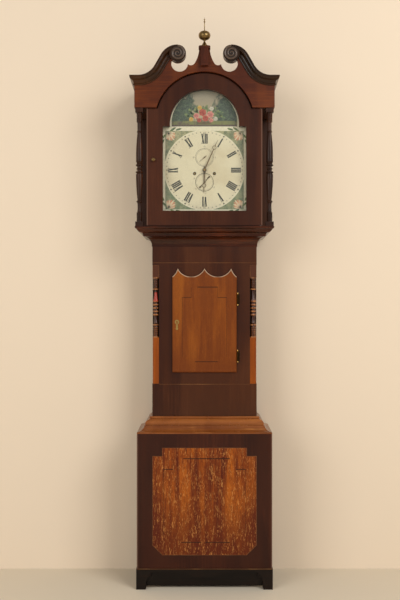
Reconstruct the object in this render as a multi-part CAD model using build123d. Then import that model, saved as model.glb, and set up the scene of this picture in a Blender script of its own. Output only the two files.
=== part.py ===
from build123d import *
import math
import os

os.makedirs("parts", exist_ok=True)

# An eight-day longcase clock. X runs right, +Y runs back to the wall and +Z runs up.
# The origin is on the floor, under the middle of the clock's overall width and depth.
# All sizes are millimetres.

# ---------------------------------------------------------------- case, in plan
TRUNK_HALF = 218.5        # half the width of the trunk
TRUNK_DEPTH = 198.0       # trunk front to the wall
BASE_OUT = 60.5           # base beyond the trunk, to the front and to each side
SKIRT_OUT = 2.5           # plinth skirt beyond the base
LEDGE_OUT = 68.5          # hood ledge beyond the trunk
FRIEZE_OUT = 70.0         # pediment board and frieze beyond the trunk
CORNICE_OUT = 19.5        # cornice beyond the frieze
HOOD_OUT = 20.0           # hood carcass and hood door beyond the trunk, to each side
COLUMN_OUT = 50.5         # hood column centres beyond the trunk

# ---------------------------------------------------------------- case, in height
SKIRT_HEIGHT = 86.5
BASE_HEIGHT = 554.5
BASE_MOULD_HEIGHT = 66.0
SHAFT_HEIGHT = 776.0      # base top to the foot of the throat moulding
THROAT_HEIGHT = 46.0
LEDGE_HEIGHT = 35.0
HOOD_HEIGHT = 487.0       # hood ledge to the frieze
FRIEZE_HEIGHT = 90.0      # frieze below the cornice, at the ends
CORNICE_HEIGHT = 39.0
DIAL_RISE = 236.0         # dial centre above the hood ledge
ARCH_DROP = 58.0          # centre of the pediment arch below the frieze's lower edge

# ---------------------------------------------------------------- boards and fits
BACK_T = 12.0
SIDE_T = 14.0
BASE_T = 20.0
FRAME_T = 22.0
PANEL_T = 12.0
HOOD_T = 12.0
PEDIMENT_T = 20.0
MASK_T = 10.0
GLASS_T = 2.5
DIAL_T = 1.6
GAP = 0.3                 # between pieces that move past each other
RUN = 0.08                # radial clearance of a pivot or a hinge pin
SLIDE_GAP = 2.5           # hood over the case, to each side

# ---------------------------------------------------------------- trunk front
DOOR_HALF = 134.5
DOOR_RISE = 249.0         # foot of the trunk door above the base top
DOOR_SIDE = 400.0         # height of the door's sides
CUSP_RISE = 35.0          # cusps above the sides
CUSP_IN = 22.7            # outer cusps in from the door's sides
DOOR_LIP = 10.5           # door beyond its aperture
LIP_T = 10.0
DOOR_T = 12.0             # the part of the door inside its aperture
COLUMN_RECESS = 28.0
STOP_RISE = 201.0         # foot of the column stops above the base top
STOP_HEIGHT = 194.0
TURNED_HEIGHT = 251.0     # turned part of a trunk column
TURNED_R = 13.5           # its widest rings
CAP_BLOCK = 52.0          # square block above it
HINGE_LENGTH = 40.0
HINGE_R = 4.0
HINGE_PIN_R = 1.6

# ---------------------------------------------------------------- base front
PANEL_HALF = 214.0
PANEL_LOW = 55.5          # panel above the skirt
PANEL_HIGH = 58.0         # panel below the base top
NOTCH_W = 40.0
NOTCH_H = 34.0
CANT = 41.0
FOOT_W = 38.0
FOOT_H = 46.0
APRON_H = 73.0
LOBE_H = 51.0
LOBE_HALF = 80.0
TOE_RISE = 10.0           # board behind the skirt, off the floor

# ---------------------------------------------------------------- hood
ARCH_R = 206.0            # pediment board's arch
ROOF_R = 208.0            # underside of the vault in the hood's roof
ARCH_GAP = 5.5            # hood door's arch inside it
HOOD_DOOR_T = 20.0
HOOD_DOOR_SET = 12.0      # hood door behind the frieze's face
SIGHT_HALF = 172.0        # hood door's opening
SIGHT_LOW = 172.5         # opening below the dial centre
SIGHT_SHOULDER = 176.0    # shoulders above the dial centre
SIGHT_ARCH = 186.0        # centre of the opening's arch above the dial centre
SIGHT_ARCH_R = 143.0
REBATE = 6.0
PIVOT_IN = 6.5            # hood door's pivots in from its edge
PIVOT_R = 2.0
SCROLL_X = 110.0
SCROLL_RISE = 219.0       # scroll centres above the frieze's lower edge
SCROLL_R = 34.0
ROSETTE_R = 27.0
PLINTH_HALF = 15.5
PLINTH_LOW = 169.0
PLINTH_TOP = 251.0
CAP_HALF = 24.0           # plinth's cap
CAP_T = 11.0
FINIAL_HEIGHT = 119.0
BLOCK = 16.0              # half the width of a hood column's blocks

# ---------------------------------------------------------------- dial and movement
DIAL_HALF = 178.0
DIAL_ARCH_R = 148.0
DIAL_SET = 5.0            # dial behind the mask
MOTION_GAP = 41.4         # dial to front plate
PLATE_T = 3.0
PLATE_GAP = 60.0
PLATE_HALF = 66.5
PLATE_LOW = 75.0
PLATE_HIGH = 100.0
PILLAR_R = 5.5
ARBOR_R = 1.7
TIP_R = 1.2               # arbor pivots
STUD_R = 1.0              # minute wheel's stud
WIND_X = 41.0             # winding squares from the centre
WIND_DROP = 14.4
WIND_SQUARE = 5.4
BARREL_R = 25.0
BARREL_FRONT = 9.0
BARREL_LENGTH = 38.0
SECONDS_RISE = 53.0
DATE_DROP = 50.5
PALLET_RISE = 29.7        # pallet arbor above the escape arbor
ESCAPE_R = 21.0
ESCAPE_TEETH = 30
PENDULUM = 994.0          # suspension to the centre of the bob
PENDULUM_Y = 92.0         # behind the front plate's face
ROD_R = 2.5
BOB_R = 55.0
BOB_T = 22.0
BELL_R = 50.0
BELL_X = 16.0
BELL_Y = 46.0
BELL_LOW = 112.0
BELL_HEIGHT = 44.0
SEAT_T = 22.0
SEAT_DEPTH = 82.0
LINE_R = 0.9
SHEAVE_R = 22.0           # pulley, to the middle of its line
WEIGHT_R = 30.0
WEIGHT_LENGTH = 200.0
WEIGHT_LOW = 700.0        # foot of the weights above the floor
MINUTE_LENGTH = 136.0
HOUR_LENGTH = 97.0
SECOND_LENGTH = 31.0
DATE_LENGTH = 30.0
MINUTE_AT = 24.0          # where the hands stand, degrees clockwise from twelve
HOUR_AT = 182.0
SECOND_AT = 228.0
DATE_AT = 39.0

# tooth forms, as shares of the circular pitch or of the module
WHEEL_TOOTH = dict(pitch=0.42, tip=0.15, addendum=0.9, root=0.5, dedendum=1.25)
LEAF_TOOTH = dict(pitch=0.38, tip=0.20, addendum=0.45, root=0.30, dedendum=1.30)

# ---------------------------------------------------------------- worked out from those
Y_BACK = (TRUNK_DEPTH + FRIEZE_OUT + CORNICE_OUT) / 2
Y_TRUNK = Y_BACK - TRUNK_DEPTH
Y_BASE = Y_TRUNK - BASE_OUT
Y_LEDGE = Y_TRUNK - LEDGE_OUT
Y_FRIEZE = Y_TRUNK - FRIEZE_OUT
Y_FRAME_BACK = Y_TRUNK + FRAME_T
Y_BOARD = Y_BACK - BACK_T
Y_HOOD_DOOR = Y_FRIEZE + HOOD_DOOR_SET
Y_MASK = Y_HOOD_DOOR + HOOD_DOOR_T + 2.0
Y_DIAL = Y_MASK + MASK_T + DIAL_SET
Y_PLATE = Y_DIAL + DIAL_T + MOTION_GAP

Z_BASE = SKIRT_HEIGHT + BASE_HEIGHT
Z_THROAT = Z_BASE + SHAFT_HEIGHT
Z_CASE = Z_THROAT + THROAT_HEIGHT
Z_LEDGE = Z_CASE + LEDGE_HEIGHT
Z_FRIEZE = Z_LEDGE + HOOD_HEIGHT
Z_CORNICE = Z_FRIEZE + FRIEZE_HEIGHT
Z_CORNICE_TOP = Z_CORNICE + CORNICE_HEIGHT
Z_ARCH = Z_FRIEZE - ARCH_DROP
Z_SCROLL = Z_FRIEZE + SCROLL_RISE
Z_DIAL = Z_LEDGE + DIAL_RISE
Z_SEAT = Z_DIAL - PLATE_LOW
Z_DOOR = Z_BASE + DOOR_RISE
Z_DOOR_SIDE = Z_DOOR + DOOR_SIDE
Z_STOP = Z_BASE + STOP_RISE
Z_TURNED = Z_STOP + STOP_HEIGHT
Z_BLOCK = Z_TURNED + TURNED_HEIGHT
Z_NOTCH_TOP = Z_BLOCK + CAP_BLOCK

BASE_HALF = TRUNK_HALF + BASE_OUT
HOOD_HALF = TRUNK_HALF + HOOD_OUT
COLUMN_X = TRUNK_HALF + COLUMN_OUT
FRIEZE_HALF = TRUNK_HALF + FRIEZE_OUT
TRUNK_IN = TRUNK_HALF - SIDE_T
HOOD_IN = HOOD_HALF - HOOD_T
FRIEZE_IN = FRIEZE_HALF - HOOD_T
PALLET_Z = SECONDS_RISE + PALLET_RISE
LINE_X = WIND_X + BARREL_R + LINE_R
LINE_Y = BARREL_FRONT + BARREL_LENGTH * 0.68


# ---------------------------------------------------------------- helpers
def block(x0, x1, y0, y1, z0, z1):
    """A box between three pairs of limits."""
    size = Box(x1 - x0, y1 - y0, z1 - z0)
    return Pos((x0 + x1) / 2, (y0 + y1) / 2, (z0 + z1) / 2) * size


def profile(start, *steps):
    """A closed face. A step is a point, or a point and a bulge to the right of the way of travel."""
    edges = []
    here = start
    for step in steps + (start,):
        there = step[:2]
        if math.dist(here, there) < 1e-6:
            continue
        if len(step) == 2:
            edges.append(Line(here, there))
        else:
            length = math.dist(here, there)
            right = ((there[1] - here[1]) / length, (here[0] - there[0]) / length)
            via = ((here[0] + there[0]) / 2 + right[0] * step[2],
                   (here[1] + there[1]) / 2 + right[1] * step[2])
            edges.append(ThreePointArc(here, via, there))
        here = there
    return make_face(edges)


def upright(face, y0, y1):
    """A face drawn in X and Z, made solid between two depths."""
    return Pos(0, y1, 0) * extrude(Plane.XZ * face, y1 - y0)


def turned(face):
    """A face drawn as radius and height, turned about Z."""
    return revolve(Plane.XZ * face, Axis.Z)


def rod(x, z, y0, y1, radius):
    """A round rod along Y."""
    return Pos(x, (y0 + y1) / 2, z) * Rot(90, 0, 0) * Cylinder(radius, y1 - y0)


def mirrored(part):
    """A part and its twin across the clock's middle."""
    return [part, mirror(part, Plane.YZ)]


def mitred(face, half, front, back, reach):
    """A moulding of one section round a front and two sides, cut at 45 degrees on the corners.

    The section is drawn as the distance outwards from the face it is fixed to, and the height."""
    wide = half + reach
    rail = Pos(-wide, front, 0) * Rot(0, 0, -90) * extrude(Plane.XZ * face, -2 * wide)
    inner = 4 * reach
    trapezium = Polyline((-wide, front - reach), (wide, front - reach), (half - inner, front + inner),
                         (inner - half, front + inner), close=True)
    keep = extrude(make_face(trapezium), 4 * Z_CORNICE)
    side = Pos(half, back, 0) * extrude(Plane.XZ * face, back - front + reach)
    return [rail & keep] + mirrored(side - keep)


def save(name, parts):
    """Writes one node's solids to its own file."""
    solids = []
    for part in parts if isinstance(parts, list) else [parts]:
        solids += part.solids()
    export_step(Compound(children=solids) if len(solids) > 1 else solids[0], f"parts/{name}.step")


# ---------------------------------------------------------------- case
def backboard():
    """One board with wide shoulders at the base and inside the hood."""
    base_in = BASE_HALF - BASE_T
    hood_in = HOOD_IN - SLIDE_GAP
    shoulder = Z_LEDGE + GAP
    rise = Z_CORNICE_TOP - 2 * HOOD_T - Z_FRIEZE
    right = [(base_in, Z_BASE), (TRUNK_IN, Z_BASE), (TRUNK_IN, shoulder), (hood_in, shoulder), (hood_in, Z_FRIEZE)]
    left = [(-x, z) for x, z in reversed(right)]
    face = profile((-base_in, SKIRT_HEIGHT), (base_in, SKIRT_HEIGHT), *right, (*left[0], rise), *left[1:])
    return upright(face, Y_BOARD, Y_BACK)


def case_boards():
    """Trunk sides, base sides, the posts behind the trunk columns and the bottom board."""
    foot = Z_BASE - 40
    seat = Z_SEAT - SEAT_T
    side = block(TRUNK_IN, TRUNK_HALF, Y_FRAME_BACK, Y_BACK, Z_BASE, Z_CASE)
    side += block(TRUNK_IN, TRUNK_HALF, Y_FRAME_BACK, Y_BOARD, foot, Z_BASE)
    cheek = block(TRUNK_IN, TRUNK_HALF, Y_TRUNK + COLUMN_RECESS, Y_BOARD, Z_CASE, seat)
    recess = block(TRUNK_IN - 1, TRUNK_HALF + 1, Y_FRAME_BACK - 1, Y_TRUNK + COLUMN_RECESS, Z_STOP, Z_NOTCH_TOP)
    side = side + cheek - recess
    stile = TRUNK_HALF - COLUMN_RECESS
    post = block(stile - 14, stile, Y_FRAME_BACK, Y_TRUNK + COLUMN_RECESS, Z_BASE, Z_CASE)
    post += block(stile - 14, TRUNK_IN, Y_TRUNK + COLUMN_RECESS, Y_TRUNK + 48, Z_BASE, Z_CASE)
    base_side = block(BASE_HALF - BASE_T, BASE_HALF, Y_BASE + BASE_T, Y_BACK, SKIRT_HEIGHT, Z_BASE)
    bottom = block(-BASE_HALF + BASE_T, BASE_HALF - BASE_T, Y_BASE + BASE_T, Y_BOARD, SKIRT_HEIGHT,
                   SKIRT_HEIGHT + BACK_T)
    return mirrored(side) + mirrored(post) + mirrored(base_side) + [bottom]


def panel_face():
    """Outline of the base panel: square notches above, canted corners below."""
    low = SKIRT_HEIGHT + PANEL_LOW
    high = Z_BASE - PANEL_HIGH
    half = [(PANEL_HALF - CANT, low), (PANEL_HALF, low + CANT), (PANEL_HALF, high - NOTCH_H),
            (PANEL_HALF - NOTCH_W, high - NOTCH_H), (PANEL_HALF - NOTCH_W, high)]
    other = [(-x, z) for x, z in reversed(half)]
    return make_face(Polyline(*half, *other, close=True))


def base_frame():
    """Front of the base, cut out for its panel."""
    board = block(-BASE_HALF, BASE_HALF, Y_BASE, Y_BASE + BASE_T, SKIRT_HEIGHT, Z_BASE)
    return board - upright(panel_face(), Y_BASE - 1, Y_BASE + BASE_T + 1)


def base_panel():
    """Oak panel, flush with the frame."""
    return upright(panel_face(), Y_BASE, Y_BASE + PANEL_T)


def foot_steps(inner, way):
    """The bracket foot's inner edge, from the floor up to the apron."""
    return [(inner, 0), (inner - way * 2, FOOT_H * 0.55, way * -3.0), (inner - way * 7, FOOT_H),
            (inner - way * 24, FOOT_H + 9, way * 4.0), (inner - way * 30, APRON_H, way * 5.0)]


def plinth_skirt():
    """Skirt with bracket feet: a front with a dropped lobe, the plain board behind it, and two sides."""
    half = BASE_HALF + SKIRT_OUT
    inner = half - FOOT_W
    right = foot_steps(inner, 1)
    left = [(-x, z) for x, z in (step[:2] for step in right)]
    steps = [(half, 0), (half, SKIRT_HEIGHT), (-half, SKIRT_HEIGHT), (-half, 0), left[0]]
    for at, step in zip(left[1:], right[1:]):
        steps.append(at if len(step) == 2 else (*at, -step[2]))
    steps += [(-LOBE_HALF * 1.6, APRON_H), (-LOBE_HALF * 0.5, LOBE_H, -5.0), (LOBE_HALF * 0.5, LOBE_H),
              (LOBE_HALF * 1.6, APRON_H, -5.0)]
    back = list(reversed(right))
    steps.append(back[0][:2])
    for index in range(1, len(back)):
        bulge = back[index - 1][2:]
        steps.append((*back[index][:2], *(-b for b in bulge)))
    front = upright(profile((inner, 0), *steps), Y_BASE - SKIRT_OUT, Y_BASE + BASE_T)
    near = Y_BASE + BASE_T
    outline = [(Y_BACK, SKIRT_HEIGHT), (near, SKIRT_HEIGHT), (near, 0), (near + FOOT_W / 2, 0),
               (near + FOOT_W / 2 + 8, FOOT_H), (near + FOOT_W, APRON_H), (Y_BACK - FOOT_W, APRON_H),
               (Y_BACK - FOOT_W + 12, FOOT_H), (Y_BACK - FOOT_W + 12, 0), (Y_BACK, 0)]
    side = Pos(BASE_HALF - BASE_T, 0, 0) * extrude(Plane.YZ * make_face(Polyline(*outline, close=True)),
                                                  BASE_T + SKIRT_OUT)
    toe = block(BASE_T - BASE_HALF, BASE_HALF - BASE_T, near, near + BACK_T, TOE_RISE, SKIRT_HEIGHT)
    return [front, toe] + mirrored(side)


def base_moulding():
    """Fillet, rounded band and hollow that carry the base out from the trunk."""
    top = Z_BASE + BASE_MOULD_HEIGHT
    reach = BASE_OUT
    face = profile((0, Z_BASE), (reach, Z_BASE), (reach, Z_BASE + 5), (reach - 4, Z_BASE + 7),
                   (31, top - 38, -5.0), (31, top - 35), (27, top - 35), (12, top - 12, 6.5), (12, top - 10),
                   (8, top - 9), (8, top, 3.0), (0, top))
    return mitred(face, TRUNK_HALF, Y_TRUNK, Y_BACK, reach)


def door_outline(half, low, side, cusp, inset):
    """Door outline: plain sides and foot, three cusps joined by hollows."""
    outer = half - inset
    hollow = side - cusp
    return profile((-half, low), (half, low), (half, side), (outer, cusp, -3.0), (0, cusp, hollow),
                   (-outer, cusp, hollow), (-half, side, -3.0))


def trunk_front():
    """Front frame of the trunk with the door aperture and the recesses for the trunk columns."""
    board = block(-TRUNK_HALF, TRUNK_HALF, Y_TRUNK, Y_FRAME_BACK, Z_BASE - 40, Z_CASE)
    board -= aperture(0, Y_TRUNK - 1, Y_FRAME_BACK + 1)
    recess = block(TRUNK_HALF - COLUMN_RECESS, TRUNK_HALF + 1, Y_TRUNK - 1, Y_FRAME_BACK + 1, Z_STOP, Z_NOTCH_TOP)
    for cut in mirrored(recess):
        board -= cut
    return board


def aperture(inset, y0, y1):
    """The trunk door's aperture, or a block that much smaller all round."""
    half = DOOR_HALF - DOOR_LIP - inset
    low = Z_DOOR + DOOR_LIP + inset
    return block(-half, half, y0, y1, low, Z_DOOR_SIDE - 1.5 * DOOR_LIP - inset)


def trunk_columns():
    """Turned columns in the trunk's corner recesses, each with its square block above."""
    r = TURNED_R
    z = Z_TURNED
    steps = [(r, z), (r, z + 3.5), (r * 0.7, z + 5)]
    for ring in range(5):
        low = z + 7 + ring * 8
        steps += [(r * 0.68, low), (r * 0.68, low + 6, 2.0)]
    steps += [(r * 0.6, z + 49), (r * 0.8, z + 50), (r * 0.8, z + 55, 2.4), (r * 0.6, z + 57), (r * 0.72, z + 61),
              (r * 0.56, z + 89, -1.0)]
    for ring in range(4):
        low = z + 91 + ring * 14
        steps += [(r * 0.66, low), (r * 0.66, low + 9, 3.2), (r * 0.62, low + 12)]
    steps += [(r * 0.78, z + 148), (r * 0.78, z + 156, 1.6), (r * 0.42, z + 197, -1.5), (r * 0.8, z + 200),
              (r * 0.8, z + 205, 2.2), (r * 0.6, z + 207)]
    for ring in range(5):
        low = z + 209 + ring * 7.5
        steps += [(r * 0.62, low), (r * 0.62, low + 5.5, 1.8)]
    steps += [(r * 0.7, z + 247), (r, z + 248), (r, z + TURNED_HEIGHT), (0, z + TURNED_HEIGHT)]
    x0 = TRUNK_HALF - COLUMN_RECESS
    y1 = Y_TRUNK + COLUMN_RECESS
    column = Pos(x0 + COLUMN_RECESS / 2, y1 - COLUMN_RECESS / 2, 0) * turned(profile((0, z), *steps))
    cap = block(x0, TRUNK_HALF - 1, Y_TRUNK + 1, y1, z + TURNED_HEIGHT, Z_NOTCH_TOP)
    return mirrored(column + cap)


def column_stops():
    """Plain light blocks under the trunk columns."""
    x0 = TRUNK_HALF - COLUMN_RECESS
    stop = block(x0, TRUNK_HALF - 1.5, Y_TRUNK + 1.5, Y_TRUNK + COLUMN_RECESS, Z_STOP, Z_TURNED)
    corner = stop.edges().filter_by(Axis.Z).group_by(Axis.X)[-1].sort_by(Axis.Y)[0]
    return mirrored(fillet(corner, 6.0))


def throat_moulding():
    """Hollow moulding at the head of the trunk that carries the hood."""
    out = 36.0
    face = profile((0, Z_THROAT), (2.5, Z_THROAT), (out - 2, Z_CASE - 5, -11.0), (out, Z_CASE - 5), (out, Z_CASE),
                   (0, Z_CASE))
    return mitred(face, TRUNK_HALF, Y_TRUNK, Y_BACK, out)


def hinge_centres():
    """Where the trunk door's two hinges are, in height."""
    return (Z_DOOR + 68, Z_DOOR + 306)


def hinge_axis():
    """Trunk hinge pins stand just outside the door's edge and in front of the frame."""
    return (DOOR_HALF + HINGE_R + GAP, Y_TRUNK - HINGE_R - 1.8)


def trunk_hinge_leaves():
    """Frame leaves with two knuckles each, and the pin."""
    x, y = hinge_axis()
    third = HINGE_LENGTH / 3
    leaves = []
    for z in hinge_centres():
        low = z - HINGE_LENGTH / 2
        leaf = block(x, x + 9, Y_TRUNK - 1.5, Y_TRUNK, low, low + HINGE_LENGTH)
        for k in (0, 2):
            leaf += Pos(x, y, low + third * (k + 0.5)) * Cylinder(HINGE_R, third - GAP)
            leaf += block(x, x + HINGE_R, y, Y_TRUNK, low + third * k + GAP / 2, low + third * (k + 1) - GAP / 2)
        middle = block(x - 6, x + HINGE_R + GAP, y - 6, Y_TRUNK + 1, low + third, low + 2 * third)
        leaf -= middle
        leaf += Pos(x, y, z) * Cylinder(HINGE_PIN_R, HINGE_LENGTH)
        leaves.append(leaf)
    return leaves


# ---------------------------------------------------------------- trunk door
def trunk_door():
    """Lipped door with a bevelled edge. Its inner part fills the aperture."""
    front = Y_TRUNK - GAP - LIP_T
    face = door_outline(DOOR_HALF, Z_DOOR, Z_DOOR_SIDE, Z_DOOR_SIDE + CUSP_RISE, CUSP_IN)
    lip = upright(face, front, front + LIP_T)
    lip = chamfer(lip.faces().sort_by(Axis.Y)[0].edges(), 3.5)
    return lip + aperture(0.8, front + LIP_T, front + LIP_T + DOOR_T)


def trunk_door_lock():
    """Lock case inside the door, and the keyhole escutcheon on its face."""
    x = -DOOR_HALF + 19.5
    z = Z_DOOR + 202
    front = Y_TRUNK - GAP - LIP_T
    back = front + LIP_T + DOOR_T
    case = block(x - 7, x + 25, back, back + 5.5, z - 24, z + 24)
    ring = Pos(x, z + 9) * Circle(9.5)
    drop = Pos(x, z - 7) * Rectangle(8, 24) + Pos(x, z - 19) * Circle(5.5)
    hole = Pos(x, z + 9) * Circle(3.2) + Pos(x, z + 3) * Rectangle(3, 10)
    return [case, upright(ring + drop - hole, front - 1.5, front)]


def door_hinge_leaves():
    """Door leaves: one knuckle each, running on the frame's pin."""
    x, y = hinge_axis()
    third = HINGE_LENGTH / 3
    leaves = []
    for z in hinge_centres():
        knuckle = Pos(x, y, z) * Cylinder(HINGE_R, third - GAP)
        neck = block(DOOR_HALF, x, y - 1.2, y + 1.2, z - third / 2 + GAP / 2, z + third / 2 - GAP / 2)
        leaf = knuckle + neck
        leaves.append(leaf - Pos(x, y, z) * Cylinder(HINGE_PIN_R + RUN, HINGE_LENGTH))
    return leaves


# ---------------------------------------------------------------- hood
def hood_base():
    """Base frame of the hood: three mitred lengths with the moulded ledge on their outer edge."""
    low = Z_CASE + GAP
    throat = 36.5
    face = profile((SLIDE_GAP, low), (throat, low), (throat + 10, low + 10, -3.0), (LEDGE_OUT - 8, Z_LEDGE - 12, 3.0),
                   (LEDGE_OUT - 2, Z_LEDGE - 9), (LEDGE_OUT - 2, Z_LEDGE, 2.0), (SLIDE_GAP, Z_LEDGE))
    rails = mitred(face, TRUNK_HALF, Y_TRUNK, Y_BACK, LEDGE_OUT)
    x, y = pivot_axis()
    hole = Pos(x, y, Z_LEDGE - 5) * Cylinder(PIVOT_R + RUN, 12)
    return [rail - hole for rail in rails]


def hood_carcass():
    """Hood sides and their strips behind the columns, soffits, frieze sides, and a roof with a vault."""
    y0 = Y_MASK
    side = block(HOOD_IN, HOOD_HALF, y0, Y_BACK, Z_LEDGE, Z_FRIEZE)
    soffit = block(HOOD_IN, FRIEZE_IN, Y_FRIEZE + PEDIMENT_T, Y_BACK, Z_FRIEZE, Z_FRIEZE + HOOD_T)
    frieze = block(FRIEZE_IN, FRIEZE_HALF, Y_FRIEZE + PEDIMENT_T, Y_BACK, Z_FRIEZE, Z_CORNICE_TOP)
    strip = block(HOOD_HALF, FRIEZE_HALF - 5, Y_BACK - 2 * HOOD_T, Y_BACK - HOOD_T, Z_LEDGE, Z_FRIEZE)
    low = Z_CORNICE_TOP - HOOD_T
    roof = block_face(-FRIEZE_IN, FRIEZE_IN, low, Z_CORNICE_TOP) + vault(HOOD_T)
    roof = upright(roof - vault(0), y0, Y_BACK)
    return mirrored(side) + mirrored(strip) + mirrored(soffit) + mirrored(frieze) + [roof]


def vault(grow):
    """The part of the vault's circle, or of one larger all round, that stands over the roof's underside."""
    low = Z_CORNICE_TOP - HOOD_T
    return (Pos(0, Z_ARCH) * Circle(ROOF_R + grow)) & block_face(-FRIEZE_IN, FRIEZE_IN, low, Z_SCROLL)


def sight(grow):
    """The break-arch opening in front of the dial, or one larger all round."""
    z = Z_DIAL
    half = SIGHT_HALF + grow
    arch = SIGHT_ARCH_R + grow
    low = block_face(-half, half, z - SIGHT_LOW - grow, z + SIGHT_SHOULDER + grow)
    return low + Pos(0, z + SIGHT_ARCH) * Circle(arch)


def block_face(x0, x1, z0, z1):
    """A rectangle between two pairs of limits."""
    return Pos((x0 + x1) / 2, (z0 + z1) / 2) * Rectangle(x1 - x0, z1 - z0)


def dial_mask():
    """Board inside the hood that frames the dial."""
    board = block_face(-HOOD_IN, HOOD_IN, Z_LEDGE, Z_CORNICE_TOP - HOOD_T) + vault(0)
    return upright(board - sight(1.0), Y_MASK, Y_MASK + MASK_T)


def swan_path():
    """Top edge of the right-hand cornice and swan neck, from the mitre in to the scroll."""
    level = Z_CORNICE_TOP
    end = FRIEZE_HALF + CORNICE_OUT + 1
    flat = FRIEZE_HALF - 17
    rise = Z_SCROLL + SCROLL_R - level
    run = flat - SCROLL_X
    slope = math.radians(60)
    low_r = 0.62 * rise
    x1 = flat - low_r * math.sin(slope)
    z1 = level + low_r * (1 - math.cos(slope))
    top = Z_SCROLL + SCROLL_R
    # the upper arc leaves the scroll's top level and meets the same slope
    left = x1 - SCROLL_X
    up = top - z1
    high_r = (left * math.tan(slope) - up) / (math.sin(slope) * math.tan(slope) - (1 - math.cos(slope)))
    x2 = SCROLL_X + high_r * math.sin(slope)
    z2 = top - high_r * (1 - math.cos(slope))
    half = slope / 2
    mid1 = (flat - low_r * math.sin(half), level + low_r * (1 - math.cos(half)))
    mid2 = (SCROLL_X + high_r * math.sin(half), top - high_r * (1 - math.cos(half)))
    return dict(end=(end, level), flat=(flat, level), mid1=mid1, low=(x1, z1), high=(x2, z2), mid2=mid2,
                top=(SCROLL_X, top))


def pediment_half():
    """Right half of the pediment board, from the middle out and back over the swan neck."""
    p = swan_path()
    foot = math.sqrt(ARCH_R ** 2 - ARCH_DROP ** 2)
    inner = math.radians(-45)
    lip = (SCROLL_X + SCROLL_R * math.cos(inner), Z_SCROLL + SCROLL_R * math.sin(inner))
    cusp = (SCROLL_X * 0.62, Z_SCROLL - 41)
    dip = (cusp[0] - 13, cusp[1] - 5)
    heel = (cusp[0] - 26, cusp[1] + 1)
    shelf = (CAP_HALF - 2, Z_FRIEZE + PLINTH_TOP - CAP_T)
    edges = [
        ThreePointArc((0, Z_ARCH + ARCH_R), (ARCH_R * math.sin(0.65), Z_ARCH + ARCH_R * math.cos(0.65)),
                      (foot, Z_FRIEZE)),
        Line((foot, Z_FRIEZE), (FRIEZE_HALF, Z_FRIEZE)),
        Line((FRIEZE_HALF, Z_FRIEZE), (FRIEZE_HALF, Z_CORNICE_TOP)),
        Line((FRIEZE_HALF, Z_CORNICE_TOP), p["flat"]),
        ThreePointArc(p["flat"], p["mid1"], p["low"]),
        Line(p["low"], p["high"]),
        ThreePointArc(p["high"], p["mid2"], p["top"]),
        ThreePointArc(p["top"], (SCROLL_X - SCROLL_R, Z_SCROLL), lip),
        ThreePointArc(lip, (SCROLL_X - 3, Z_SCROLL - 72), cusp),
        ThreePointArc(cusp, dip, heel),
        ThreePointArc(heel, (heel[0] - 12.5, heel[1] + 24), shelf),
        Line(shelf, (0, shelf[1])),
        Line((0, shelf[1]), (0, Z_ARCH + ARCH_R)),
    ]
    return make_face(edges)


def pediment_board():
    """Shaped board over the dial, arched below and scrolled above."""
    half = pediment_half()
    board = upright(half + mirror(half, Plane.YZ), Y_FRIEZE, Y_FRIEZE + PEDIMENT_T)
    x, y = pivot_axis()
    return board - Pos(x, y, Z_FRIEZE + 4) * Cylinder(PIVOT_R + RUN, 14)


def cornice_section():
    """Cornice section: a fillet above, an ogee below, as outward distance and height under its top."""
    out = CORNICE_OUT
    low = -CORNICE_HEIGHT
    return profile((0, low), (2.5, low), (2.5, low + 8, 2.5), (4, low + 10), (out * 0.5, low + 22, -2.0),
                   (out - 1, low + 32, 2.0), (out, low + 33), (out, 0), (0, 0))


def swan_necks():
    """Cornice returns along the sides, and the front cornice that rises into each swan neck."""
    p = swan_path()
    path = Wire([Line(p["end"], p["flat"]), ThreePointArc(p["flat"], p["mid1"], p["low"]),
                 Line(p["low"], p["high"]), ThreePointArc(p["high"], p["mid2"], p["top"])])
    path = Pos(0, Y_FRIEZE, 0) * (Plane.XZ * path)
    section = Plane(origin=(*p["end"][:1], Y_FRIEZE, p["end"][1]), x_dir=(0, -1, 0), z_dir=(-1, 0, 0))
    neck = sweep(section * cornice_section(), path)
    neck += rod(SCROLL_X, Z_SCROLL, Y_FRIEZE - CORNICE_OUT + 3, Y_FRIEZE, SCROLL_R)
    neck -= rod(SCROLL_X, Z_SCROLL, Y_FRIEZE - 2 * CORNICE_OUT, Y_FRIEZE - CORNICE_OUT + 8, ROSETTE_R)
    wide = FRIEZE_HALF + CORNICE_OUT
    reach = CORNICE_OUT
    corner = Polyline((wide + 1, Y_FRIEZE - reach - 1), (0, Y_FRIEZE - reach - 1), (0, Y_FRIEZE + 1),
                      (FRIEZE_HALF - 1, Y_FRIEZE + 1), close=True)
    front = extrude(make_face(corner), 4 * Z_CORNICE)
    side = Pos(FRIEZE_HALF, Y_BACK, Z_CORNICE_TOP) * extrude(Plane.XZ * cornice_section(),
                                                             Y_BACK - Y_FRIEZE + reach)
    return mirrored(neck & front) + mirrored(side - front)


def scroll_rosettes():
    """Turned and carved rosettes in the eyes of the scrolls."""
    r = ROSETTE_R
    face = profile((0, 0), (r, 0), (r, 3), (r - 6, 3, 2.5), (r - 7, 2), (r - 16, 3, 2.0), (8, 2), (8, 4), (3, 8, 1.5),
                   (0, 8))
    seat = Y_FRIEZE - CORNICE_OUT + 8
    rosette = Pos(SCROLL_X, seat, Z_SCROLL) * Rot(90, 0, 0) * turned(face)
    return mirrored(rosette)


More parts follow.
